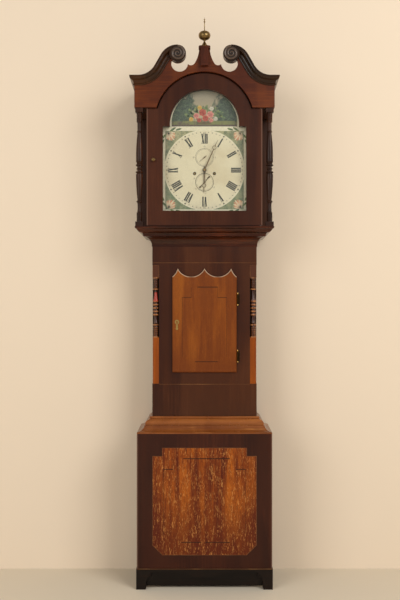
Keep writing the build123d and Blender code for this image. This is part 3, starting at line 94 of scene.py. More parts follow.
def darker(colour: Colour, share: float) -> Colour:
    """That share of a colour."""
    return tuple(int(part * share) for part in colour)


def around(x: float, z: float, turn: float, reach: float) -> Point:
    """A point at an angle in degrees, clockwise from the top, and a distance from a centre."""
    a = math.radians(turn)
    return (x + reach * math.sin(a), z + reach * math.cos(a))


@dataclass(frozen=True)
class Box:
    """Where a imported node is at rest, in millimetres."""

    left: float
    front: float
    foot: float
    right: float
    back: float
    top: float

    @classmethod
    def of(cls, node: str) -> "Box":
        """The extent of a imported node."""
        low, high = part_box(node)
        return cls(*(value / MM for value in (*low, *high)))


# ---------------------------------------------------------------- shader maths
class Wire:
    """A shader socket that Python's operators build Math nodes from."""

    def __init__(self, shader: "Shader", socket: bpy.types.NodeSocket) -> None:
        """Keeps the shader and the socket."""
        self.shader = shader
        self.socket = socket

    def _maths(self, operation: str, first: Number, second: Number = 0.0) -> "Wire":
        """Adds one Math node.

        Args:
            operation: The Math node's operation.
            first: Its first value.
            second: Its second value.

        Returns:
            The node's result.
        """
        return self.shader.node("ShaderNodeMath", {"operation": operation}, {0: first, 1: second})

    def __add__(self, other: Number) -> "Wire":
        """Sum."""
        return self._maths("ADD", self, other)

    def __sub__(self, other: Number) -> "Wire":
        """Difference."""
        return self._maths("SUBTRACT", self, other)

    def __rsub__(self, other: Number) -> "Wire":
        """Difference from a number."""
        return self._maths("SUBTRACT", other, self)

    def __mul__(self, other: Number) -> "Wire":
        """Product."""
        return self._maths("MULTIPLY", self, other)

    def __pow__(self, other: Number) -> "Wire":
        """Power."""
        return self._maths("POWER", self, other)

    def __gt__(self, other: Number) -> "Wire":
        """One where this is the greater."""
        return self._maths("GREATER_THAN", self, other)

    def __lt__(self, other: Number) -> "Wire":
        """One where this is the less."""
        return self._maths("LESS_THAN", self, other)

    def __abs__(self) -> "Wire":
        """Size without sign."""
        return self._maths("ABSOLUTE", self)

    __radd__ = __add__
    __rmul__ = __mul__


class Shader:
    """A material's node tree, and the few nodes that the finishes are made of."""

    def __init__(self, name: str) -> None:
        """Starts a material with nothing but its place in the clock's frame.

        Args:
            name: Its name.
        """
        self.material = bpy.data.materials.new(name)
        self.material.use_nodes = True
        self.tree = self.material.node_tree
        self.tree.nodes.clear()
        self.place = self.node("ShaderNodeTexCoord", output="Object")

    def add(self, kind: str, settings: Optional[dict] = None,
            sockets: Optional[dict] = None) -> bpy.types.ShaderNode:
        """Adds a node.

        Args:
            kind: The node's type.
            settings: Its own settings, which are made first.
            sockets: Values or wires for its sockets, by name or place.

        Returns:
            The node.
        """
        made = self.tree.nodes.new(kind)
        for key, value in (settings or {}).items():
            setattr(made, key, value)
        for key, value in (sockets or {}).items():
            if isinstance(value, Wire):
                self.tree.links.new(value.socket, made.inputs[key])
            else:
                made.inputs[key].default_value = value
        return made

    def node(self, kind: str, settings: Optional[dict] = None, sockets: Optional[dict] = None,
             output: Union[str, int] = 0) -> Wire:
        """Adds a node, as above, and takes the result with that name or place."""
        return Wire(self, self.add(kind, settings, sockets).outputs[output])

    def scaled(self, scale: Sequence[float], turn: Sequence[float] = (0, 0, 0),
               shift: Sequence[float] = (0, 0, 0)) -> Wire:
        """The clock's frame, stretched, turned and moved for a pattern."""
        return self.node("ShaderNodeMapping", {}, {"Vector": self.place, "Scale": scale,
                                                   "Rotation": turn, "Location": shift})

    def noise(self, vector: Wire, scale: float, detail: float = 4.0, rough: float = 0.55,
              warp: float = 0.0) -> Wire:
        """Noise between nought and one."""
        return self.node("ShaderNodeTexNoise", {"normalize": True},
                         {"Vector": vector, "Scale": scale, "Detail": detail, "Roughness": rough,
                          "Distortion": warp}, "Fac")

    def band(self, value: Wire, low: float, high: float) -> Wire:
        """Nought below one value and one above another, smooth between."""
        return self.node("ShaderNodeMapRange", {"interpolation_type": "SMOOTHSTEP"},
                         {"Value": value, "From Min": low, "From Max": high})

    def mix(self, share: Number, first: Tone, second: Tone) -> Wire:
        """A blend of two colours: none of the second at a share of nought, all of it at one."""
        a, b = (tone if isinstance(tone, Wire) else paint(tone) for tone in (first, second))
        return self.node("ShaderNodeMix", {"data_type": "RGBA"}, {0: share, 6: a, 7: b}, 2)

    def axes(self) -> tuple[Wire, Wire, Wire]:
        """The place's lengths: to the right, backwards and upwards, in metres."""
        across, deep, up = self.add("ShaderNodeSeparateXYZ", {}, {0: self.place}).outputs
        return Wire(self, across), Wire(self, deep), Wire(self, up)

    def bump(self, height: Wire, depth: float, strength: float = 1.0) -> Wire:
        """A bumped normal, with the height's depth in metres."""
        return self.node("ShaderNodeBump", {}, {"Height": height, "Distance": depth, "Strength": strength})

    def surface(self, **sockets: Union[Wire, float, Sequence[float]]) -> bpy.types.Material:
        """Ends the material with one Principled shader.

        Args:
            **sockets: Its sockets, with spaces in their names as underscores.

        Returns:
            The finished material.
        """
        named = {key.replace("_", " "): value for key, value in sockets.items()}
        return self.ended(self.node("ShaderNodeBsdfPrincipled", {}, named))

    def ended(self, shader: Wire) -> bpy.types.Material:
        """Joins a shader to the material's output."""
        self.add("ShaderNodeOutputMaterial", {}, {0: shader})
        return self.material


# ---------------------------------------------------------------- finishes
class Grain(Enum):
    """Which way the wood's grain runs, as stretches of the pattern along X, Y and Z."""

    UPRIGHT = (1.0, 1.0, 0.045)
    LEVEL = (0.045, 1.0, 1.0)


@dataclass(frozen=True)
class Wood:
    """Polished wood: streaks along the grain, soft cloud, dark pores and a rubbed polish.

    Streak and cloud say how fine each is, pores and leaves how strongly they show, shift which part of the
    pattern is taken, and edge how far from the middle, in metres, the corners get a painted highlight.
    """

    name: str
    pale: Colour
    mid: Colour
    dark: Colour
    grain: Grain
    streak: float
    cloud: float
    pores: float = 0.35
    gloss: float = 0.34
    coat: float = 0.10
    shift: float = 0.0
    leaves: float = 0.0
    edge: float = 0.0
    PORES = 900.0
    WORN = (128, 96, 80)
    DEPTH = 0.00006

    def material(self) -> bpy.types.Material:
        """Makes the finish.

        Returns:
            Its material.
        """
        s = Shader(self.name)
        along = s.scaled(self.grain.value, shift=(self.shift, self.shift, self.shift))
        streaks = s.noise(along, self.streak, detail=6.0, rough=0.62, warp=0.5)
        fine = s.noise(along, self.streak * 9, detail=3.0, rough=0.5, warp=0.2)
        squat = s.scaled((1.0, 1.0, 0.6), shift=(self.shift, 0, 0))
        cloud = s.noise(squat, self.cloud, detail=3.0, rough=0.5, warp=0.8)
        tone = s.band(streaks * 0.62 + cloud * 0.38, 0.36, 0.66)
        colour = s.mix(tone, self.dark, self.mid)
        lift = s.band(cloud * 0.55 + fine * 0.45, 0.50, 0.68)
        colour = s.mix(lift * 0.75, colour, self.pale)
        tall = s.scaled((1.0, 1.0, 0.12), shift=(self.shift, 0, self.shift))
        leaf = s.noise(tall, 7.5, detail=1.0, rough=0.4, warp=0.3)
        colour = s.mix(s.band(leaf, 0.50, 0.62) * self.leaves, colour, self.pale)
        colour = s.mix(s.band(1.0 - leaf, 0.54, 0.66) * self.leaves * 0.7, colour, self.dark)
        # painted highlight: a pale line along the corners, near edge from the middle
        if self.edge:
            x, _, _ = s.axes()
            painted_highlight = s.band(abs(x), self.edge - 0.006, self.edge - 0.003)
            colour = s.mix(painted_highlight * 0.5, colour, self.WORN)
        pore = s.band(s.noise(along, self.PORES, detail=2.0, rough=0.5), 0.60, 0.72)
        colour = s.mix(pore * self.pores, colour, darker(self.dark, 0.55))
        rub = s.noise(s.place, 9.0, detail=4.0, rough=0.6)
        rough = self.gloss - 0.07 + rub * 0.14 + pore * 0.10
        height = fine * 0.5 - pore * 0.5
        return s.surface(Base_Color=colour, Roughness=rough, Normal=s.bump(height, self.DEPTH),
                         Coat_Weight=self.coat, Coat_Roughness=0.12, Specular_IOR_Level=0.22)


@dataclass(frozen=True)
class Oak:
    """Quarter-sawn oak: upright grain, pale rays and dark strokes, painted shade at its foot and a painted
    highlight on its top edge.

    Rays says how strongly they show. Painted shade darkens the wood below the foot and fades out over that
    rise, and darkens it towards half its width. A painted highlight lies between two depths and over a
    height. All of these are in metres.
    """

    name: str
    pale: Colour
    mid: Colour
    dark: Colour
    fleck: Colour
    rays: float
    foot: float
    rise: float
    half: float
    shift: float = 0.0
    rubbed: Optional[tuple[float, float, float]] = None
    PORES = 1100.0
    RUBBED = (196, 168, 140)
    DEPTH = 0.00007

    def strokes(self, s: Shader, seed: float, low: float) -> Wire:
        """Short wavy strokes that lean one way and the other.

        Args:
            s: The shader.
            seed: Where in the pattern they are taken from.
            low: The noise over which a stroke shows.

        Returns:
            One on the strokes.
        """
        made = None
        for lean in (0.16, -0.22):
            wavy = s.scaled((1.0, 1.0, 0.16), turn=(0, lean, 0), shift=(seed + lean, seed, seed))
            stroke = s.band(s.noise(wavy, 250.0, detail=1.5, rough=0.5, warp=1.4), low, low + 0.06)
            made = stroke if made is None else made + stroke
        return s.band(made, 0.0, 1.0)

    def material(self) -> bpy.types.Material:
        """Makes the finish.

        Returns:
            Its material.
        """
        s = Shader(self.name)
        x, depth, up = s.axes()
        along = s.scaled((1.0, 1.0, 0.05), shift=(self.shift, 0, self.shift))
        growth = s.noise(along, 85.0, detail=5.0, rough=0.6, warp=0.4)
        tall = s.scaled((1.0, 1.0, 0.14), shift=(self.shift, 0, 0))
        broad = s.noise(tall, 14.0, detail=4.0, rough=0.55, warp=0.5)
        tone = s.band(growth * 0.5 + broad * 0.5, 0.36, 0.64)
        colour = s.mix(tone, self.dark, self.mid)
        colour = s.mix(s.band(broad, 0.5, 0.72) * 0.8, colour, self.pale)
        # painted shade: darker at the foot, fading out over the rise, and darker towards the sides
        painted_shade = 1.0 - s.band(up, self.foot, self.foot + self.rise)
        side = s.band(abs(x), self.half * 0.6, self.half)
        colour = s.mix(s.band(painted_shade + side * 0.45, 0.0, 1.3) * 0.9, colour, self.dark)
        area = s.band(s.noise(s.place, 26.0, detail=2.0, rough=0.5, warp=0.3), 0.30, 0.56)
        fleck = self.strokes(s, self.shift, 0.61) * area * self.rays
        colour = s.mix(fleck * 0.7, colour, self.fleck)
        mark = self.strokes(s, self.shift + 4.0, 0.58) * self.rays
        colour = s.mix(mark * 0.55, colour, darker(self.dark, 0.9))
        pore = s.band(s.noise(along, self.PORES, detail=2.0, rough=0.5), 0.58, 0.70)
        colour = s.mix(pore * 0.3, colour, darker(self.dark, 0.6))
        # painted highlight along the door's bevelled top edge, between two depths and over a height
        if self.rubbed:
            front, back, over = self.rubbed
            painted_highlight = (depth > front) * (depth < back) * (up > over)
            colour = s.mix(painted_highlight * 0.85, colour, self.RUBBED)
        rough = 0.34 + s.noise(s.place, 9.0, detail=4.0, rough=0.6) * 0.12 - fleck * 0.06
        return s.surface(Base_Color=colour, Roughness=rough, Normal=s.bump(growth - pore, self.DEPTH),
                         Coat_Weight=0.08, Coat_Roughness=0.18, Specular_IOR_Level=0.22)


@dataclass(frozen=True)
class Turnery:
    """Turned and varnished wood whose rings are rubbed pale, with one redder mended length on the left.

    The red length is between two heights, the columns' axis is right of the middle and behind the front, and
    the square blocks start at a height, all in metres.
    """

    name: str
    pale: Colour
    mid: Colour
    dark: Colour
    mended: Colour
    between: tuple[float, float]
    axis: Point
    square: float
    THIN = 0.0085
    THICK = 0.0130
    FADE = 0.002
    BLOCK = (78, 38, 16)
    DEPTH = 0.00008

    def material(self) -> bpy.types.Material:
        """Makes the finish.

        Returns:
            Its material.
        """
        s = Shader(self.name)
        x, depth, up = s.axes()
        streak = s.noise(s.scaled((1.0, 1.0, 0.2)), 120.0, detail=4.0, rough=0.6)
        aside, behind = abs(x) - self.axis[0], depth - self.axis[1]
        radius = (aside * aside + behind * behind) ** 0.5
        # painted highlight and painted shade: the larger radius of the proud rings is painted pale, the thin
        # hollows between them dark
        swell = s.band(radius + (streak - 0.5) * 0.003, self.THIN, self.THICK)
        colour = s.mix(swell, self.dark, self.mid)
        colour = s.mix(s.band(swell, 0.6, 1.0) * s.band(streak, 0.35, 0.55), colour, self.pale)
        colour = s.mix(up > self.square, colour, self.BLOCK)
        # a redder length of the left column, between two heights
        low, high = self.between
        red_length = s.band(up, low, low + self.FADE) * (1.0 - s.band(up, high - self.FADE, high)) * (x < 0.0)
        colour = s.mix(red_length * 0.8, colour, self.mended)
        return s.surface(Base_Color=colour, Roughness=0.26 + streak * 0.14, Normal=s.bump(streak, self.DEPTH),
                         Coat_Weight=0.25, Coat_Roughness=0.15, Specular_IOR_Level=0.3)


@dataclass(frozen=True)
class Carving:
    """Carved and polished wood: a painted highlight at its front, and painted shade in hollows that are so
    deep.
    """

    name: str
    proud: Colour
    hollow: Colour
    front: float
    deep: float
    UNEVEN = 0.001
    DEPTH = 0.00005

    def material(self) -> bpy.types.Material:
        """Makes the finish.

        Returns:
            Its material.
        """
        s = Shader(self.name)
        _, depth, _ = s.axes()
        grain = s.noise(s.scaled((1.0, 1.0, 0.3)), 160.0, detail=4.0, rough=0.6)
        # painted highlight on the proud front and painted shade in the deep hollows; the same dark colour
        # also marks the grain
        height = s.band(self.front + self.deep - depth + (grain - 0.5) * self.UNEVEN, self.UNEVEN, self.deep)
        colour = s.mix(height, self.hollow, self.proud)
        colour = s.mix(s.band(grain, 0.5, 0.7) * 0.3, colour, self.hollow)
        return s.surface(Base_Color=colour, Roughness=0.24 + grain * 0.12,
                         Normal=s.bump(grain, self.DEPTH), Coat_Weight=0.4, Coat_Roughness=0.12,
                         Specular_IOR_Level=0.35)


@dataclass(frozen=True)
class Metal:
    """Cast, turned or drawn metal with the dullness of its age.

    Stain says how much of it is dull, grit how deep its roughness is in metres, and scale how fine both are.
    """

    name: str
    bright: Colour
    dull: Colour
    rough: float
    metallic: float = 1.0
    stain: float = 0.45
    grit: float = 0.00002
    scale: float = 90.0

    def material(self) -> bpy.types.Material:
        """Makes the finish.

        Returns:
            Its material.
        """
        s = Shader(self.name)
        patch = s.band(s.noise(s.place, self.scale, detail=5.0, rough=0.6, warp=0.5), 0.40, 0.68)
        spot = s.band(s.noise(s.place, self.scale * 6, detail=3.0, rough=0.6), 0.58, 0.72)
        mask = patch * self.stain + spot * 0.25
        colour = s.mix(mask, self.bright, self.dull)
        rough = self.rough + mask * 0.22
        grain = s.noise(s.place, self.scale * 20, detail=3.0, rough=0.6)
        return s.surface(Base_Color=colour, Roughness=rough, Metallic=self.metallic,
                         Normal=s.bump(grain, self.grit))


@dataclass(frozen=True)
class Paint:
    """Oil paint laid by hand: two tones that run into each other, under varnish."""

    name: str
    first: Colour
    second: Colour
    scale: float
    rough: float = 0.38
    coat: float = 0.2
    DEPTH = 0.00004

    def material(self) -> bpy.types.Material:
        """Makes the finish.

        Returns:
            Its material.
        """
        s = Shader(self.name)
        wash = s.band(s.noise(s.place, self.scale, detail=3.0, rough=0.55, warp=0.8), 0.40, 0.62)
        stroke = s.noise(s.scaled((1.0, 1.0, 0.3), turn=(0, 0.6, 0)), self.scale * 5, detail=3.0, rough=0.6)
        colour = s.mix(wash, self.first, self.second)
        colour = s.mix(s.band(stroke, 0.5, 0.7) * 0.3, colour, darker(self.first, 0.75))
        return s.surface(Base_Color=colour, Roughness=self.rough + stroke * 0.08, Coat_Weight=self.coat,
                         Coat_Roughness=0.2, Normal=s.bump(stroke, self.DEPTH))


@dataclass(frozen=True)
class Pane:
    """Old clear glass: hardly seen except where it shines."""

    name: str = "old_glass"
    TINT = (214, 224, 214)
    WAVES = 0.0003

    def material(self) -> bpy.types.Material:
        """Makes the finish.

        Returns:
            Its material.
        """
        s = Shader(self.name)
        facing = s.node("ShaderNodeLayerWeight", {}, {"Blend": 0.25}, "Fresnel")
        waves = s.noise(s.scaled((1.0, 1.0, 0.35)), 7.0, detail=2.0, rough=0.4)
        return s.surface(Base_Color=paint(self.TINT), Roughness=0.04, Alpha=0.03 + facing * 0.5,
                         Normal=s.bump(waves, self.WAVES), IOR=1.5)


@dataclass(frozen=True)
class DialGround:
    """Ground of the painted dial: cream disc, shaded corners, pale borders and a wooded arch.

    Each pair of colours is what one part of the painting varies between.
    """

    centre: float
    disc: float = 164.6
    square: float = 163.5
    arch_rise: float = 196.0
    arch: float = 137.0
    shoulder: float = 182.0
    line: float = 3.0
    back: float = -74.2
    name: str = "painted_dial_ground"
    CREAM = ((226, 216, 184), (214, 200, 165))
    SPECK = (150, 128, 92)
    CORNER = ((118, 126, 88), (168, 164, 122))
    LEAF = (80, 92, 68)
    OUTER = (92, 92, 80)
    LOWER = (92, 118, 86)
    BORDER = ((234, 226, 198), (204, 198, 160))
    CRACK = (110, 92, 66)
    BACK = (52, 44, 38)
    SKY = ((176, 160, 128), (150, 140, 118))
    TREES = ((34, 48, 40), (78, 98, 70))
    BANK = ((116, 118, 62), (92, 80, 60))
    EARTH = (84, 64, 54)
    DEPTH = 0.00004

    def material(self) -> bpy.types.Material:
        """Makes the finish.

        Returns:
            Its material.
        """
        s = Shader(self.name)
        x, depth, z = s.axes()
        up = z - self.centre * MM
        reach = (x * x + up * up) ** 0.5
        age = s.noise(s.place, 7.0, detail=4.0, rough=0.6, warp=0.4)
        cream = s.mix(s.band(age, 0.38, 0.66), *self.CREAM)
        speck = s.band(s.noise(s.place, 330.0, detail=3.0, rough=0.7), 0.66, 0.74)
        cream = s.mix(speck * 0.22, cream, self.SPECK)
        foliage = s.noise(s.scaled((1.0, 1.0, 0.8)), 34.0, detail=4.0, rough=0.62, warp=0.9)
        leaf = s.noise(s.place, 120.0, detail=3.0, rough=0.6, warp=1.2)
        ground = s.mix(s.band(foliage, 0.40, 0.60), *self.CORNER)
        ground = s.mix(s.band(leaf, 0.54, 0.64) * 0.6, ground, self.LEAF)
        ground = s.mix(s.band(abs(x), 0.130, 0.168) * 0.4, ground, self.OUTER)
        ground = s.mix((up < 0.0) * 0.35, ground, self.LOWER)
        border = s.mix(s.band(leaf, 0.45, 0.6) * 0.4, *self.BORDER)
        woods = self._woods(s, x, up, foliage, leaf)
        in_disc = reach < self.disc * MM
        in_line = reach < (self.disc + self.line) * MM
        in_square = (abs(x) < self.square * MM) * (abs(up) < self.square * MM)
        arch_up = up - self.arch_rise * MM
        arch_reach = (x * x + arch_up * arch_up) ** 0.5
        in_arch = (arch_reach < self.arch * MM) * (up > self.shoulder * MM)
        colour = s.mix(in_square, border, ground)
        colour = s.mix(in_line * in_square, colour, border)
        colour = s.mix(in_disc * in_square, colour, cream)
        colour = s.mix(in_arch, colour, woods)
        craze = s.node("ShaderNodeTexVoronoi", {"feature": "DISTANCE_TO_EDGE"},
                       {"Vector": s.place, "Scale": 70.0, "Randomness": 1.0}, "Distance")
        crack = 1.0 - s.band(craze, 0.0, 0.018)
        colour = s.mix(crack * 0.16, colour, self.CRACK)
        colour = s.mix(depth > self.back * MM, colour, self.BACK)
        return s.surface(Base_Color=colour, Roughness=0.36 + age * 0.12, Coat_Weight=0.15,
                         Coat_Roughness=0.25, Normal=s.bump(leaf * 0.3 - crack, self.DEPTH))

    def _woods(self, s: Shader, x: Wire, up: Wire, foliage: Wire, leaf: Wire) -> Wire:
        """The arch's painting: sky between two banks of trees over a green bank.

        Args:
            s: The shader.
            x: Distance right of the middle.
            up: Height over the dial's centre.
            foliage: Broad noise.
            leaf: Fine noise.

        Returns:
            Its colour.
        """
        sky = s.mix(s.band(up, 0.22, 0.32), *self.SKY)
        trees = s.mix(s.band(leaf, 0.42, 0.62), *self.TREES)
        edge = abs(x) + (foliage - 0.5) * 0.13 - s.band(up, 0.250, 0.33) * 0.03
        colour = s.mix(s.band(edge, 0.030, 0.052), sky, trees)
        bank = s.mix(s.band(foliage, 0.45, 0.6), *self.BANK)
        line = up + (foliage - 0.5) * 0.012
        colour = s.mix(1.0 - s.band(line, 0.202, 0.206), colour, bank)
        return s.mix(1.0 - s.band(line, 0.187, 0.190), colour, self.EARTH)


class Finish:
    """The clock's finishes, each made once when it is first asked for."""

    WOODS = (
        Wood("frieze_mahogany", (114, 55, 18), (88, 39, 15), (66, 25, 9), Grain.LEVEL, 18, 5.0,
             leaves=0.3),
        # edge paints a highlight along the hood door's and the base's outer corners
        Wood("hood_mahogany", (82, 40, 18), (68, 32, 14), (50, 20, 8), Grain.UPRIGHT, 24, 2.6, shift=0.7,
             leaves=0.25, edge=0.2385),
        Wood("trunk_mahogany", (84, 45, 22), (70, 32, 10), (50, 20, 8), Grain.UPRIGHT, 14, 3.0, shift=2.3,
             leaves=0.4),
        Wood("base_mahogany", (72, 31, 12), (58, 20, 7), (42, 13, 5), Grain.UPRIGHT, 12, 3.0, shift=2.8,
             leaves=0.25, edge=0.279),
        Wood("skirt_mahogany", (30, 12, 5), (19, 7, 4), (12, 5, 3), Grain.LEVEL, 16, 3.0, shift=2.4),
        Wood("moulding_mahogany", (214, 146, 78), (168, 100, 48), (104, 50, 16), Grain.LEVEL, 20, 4.0,
             gloss=0.26, coat=0.3, shift=3.7),
        Wood("ledge_mahogany", (100, 42, 12), (62, 24, 6), (40, 13, 3), Grain.LEVEL, 20, 3.0, gloss=0.24,
             coat=0.3, shift=4.2),
        Wood("neck_mahogany", (74, 40, 14), (52, 28, 8), (32, 17, 6), Grain.LEVEL, 24, 3.0, gloss=0.28,
             coat=0.2, shift=5.1),
        Wood("plinth_mahogany", (100, 44, 22), (80, 34, 15), (54, 21, 8), Grain.UPRIGHT, 30, 6.0,
             shift=5.6),
        Wood("column_mahogany", (88, 46, 20), (58, 27, 7), (34, 13, 4), Grain.UPRIGHT, 40, 9.0,
             gloss=0.42, coat=0.06, shift=6.3),
        Wood("side_mahogany", (80, 44, 22), (62, 32, 13), (45, 20, 6), Grain.UPRIGHT, 12, 2.4, shift=7.5),
        Wood("satinwood", (176, 90, 18), (154, 76, 12), (130, 60, 7), Grain.UPRIGHT, 60, 6.0, pores=0.2,
             shift=8.1),
        Wood("deal", (150, 114, 74), (124, 92, 60), (94, 68, 46), Grain.UPRIGHT, 30, 2.0, pores=0.1,
             gloss=0.75, coat=0.0, shift=9.4),
        Wood("boxwood_line", (160, 112, 66), (126, 80, 44), (92, 54, 28), Grain.LEVEL, 60, 8.0, pores=0.1,
             shift=1.1),
        Wood("ebony_line", (66, 34, 14), (50, 24, 10), (36, 16, 6), Grain.UPRIGHT, 60, 8.0, pores=0.2,
             shift=2.2),
        # the door's top edge gets a painted highlight; both oaks get painted shade at the foot and towards
        # the sides
        Oak("door_oak", (150, 82, 18), (132, 66, 10), (108, 50, 7), (160, 90, 26), rays=0.30, foot=0.86,
            rise=0.20, half=0.135, rubbed=(-0.0643, -0.0600, 1.2885)),
        Oak("panel_oak", (184, 98, 20), (154, 73, 9), (84, 24, 4), (214, 148, 78), rays=0.9, foot=0.12,
            rise=0.42, half=0.215, shift=3.3),
    )
    METALS = (
        Metal("aged_brass", (138, 114, 74), (84, 66, 40), 0.30, stain=0.6),
        Metal("hinge_brass", (60, 42, 24), (34, 24, 14), 0.5, stain=0.6),
        # the front plate's brass is darkened as painted shade, so that it looks dark through the winding
        # holes
        Metal("plate_brass_painted_shade", (112, 86, 48), (64, 48, 28), 0.42, stain=0.5, scale=30),
        Metal("movement_brass", (206, 166, 92), (140, 106, 56), 0.26, stain=0.35),
        Metal("bright_brass", (222, 184, 110), (150, 116, 62), 0.22, stain=0.3),
        Metal("hand_brass", (130, 104, 74), (74, 58, 42), 0.34, stain=0.5, scale=220),
        Metal("dark_hand", (98, 80, 56), (60, 48, 34), 0.40, stain=0.5, scale=220),
        Metal("steel", (168, 168, 166), (96, 88, 80), 0.30, stain=0.4),
        Metal("bell_metal", (190, 172, 128), (120, 104, 72), 0.30, stain=0.35, scale=40),
        Metal("cast_iron", (64, 62, 60), (38, 32, 28), 0.62, 0.7, 0.6, 0.0002, 40),
        Metal("gut", (168, 138, 92), (128, 100, 64), 0.45, 0.0, 0.5, 0.0001, 200),
    )
    PAINTS = (
        Paint("numeral_black", (14, 11, 9), (24, 19, 15), 120, 0.42, 0.05),
        Paint("figure_grey", (104, 92, 72), (78, 68, 52), 200, 0.4),
        Paint("shell_pink", (206, 128, 96), (218, 160, 118), 60),
        Paint("shell_cream", (226, 206, 168), (222, 186, 148), 60),
        Paint("leaf_green", (70, 96, 60), (128, 140, 80), 90),
        Paint("rose_red", (176, 52, 44), (206, 92, 70), 120),
        Paint("rose_pink", (214, 116, 112), (232, 160, 140), 120),
        Paint("flower_white", (220, 214, 194), (190, 186, 160), 120),
        Paint("flower_gold", (214, 160, 48), (228, 190, 96), 120),
        Paint("basket_brown", (120, 90, 52), (86, 62, 40), 160),
    )

    def __init__(self) -> None:
        """Lists the finishes by name, with those that need to know where their pieces are."""
        placed = (
            Turnery("trunk_column_mahogany", (170, 112, 64), (110, 60, 26), (58, 25, 8), (172, 52, 30),
                    between=(1.186, 1.226), axis=(0.2043, -0.0400),
                    square=Box.of("trunk_columns").top * MM - 0.052),
            # the volutes' pale front is a painted highlight and their dark hollows painted shade
            Carving("volute_mahogany", (84, 66, 54), (20, 12, 8),
                    front=Box.of("swan_necks").front * MM + 0.0022, deep=0.0032),
            DialGround(Dial.centre),
            Pane(),
        )
        self._makers = {f.name: f for f in (*self.WOODS, *self.METALS, *self.PAINTS, *placed)}
        self._made: dict[str, bpy.types.Material] = {}

    def __getitem__(self, name: str) -> bpy.types.Material:
        """Makes a finish unless it is there already.

        Args:
            name: Its name.

        Returns:
            Its material.
        """
        if name not in self._made:
            self._made[name] = self._makers[name].material()
        return self._made[name]


# ---------------------------------------------------------------- modelling by hand
FACING = (math.pi / 2, 0, 0)
FLAT = (0, 0, 0)


def level(left: float, right: float, z: float, wide: float) -> Bar:
    """A level bar."""
    return (left, z), (right, z), wide


def upright(x: float, foot: float, top: float, wide: float) -> Bar:
    """An upright bar."""
    return (x, foot), (x, top), wide


def petal(x: float, z: float, turn: float, reach: float, wide: float, high: float) -> Oval:
    """An oval that points away from a centre, at an angle and a distance, of a half width and height."""
    return (*around(x, z, turn, reach), wide, high, turn)


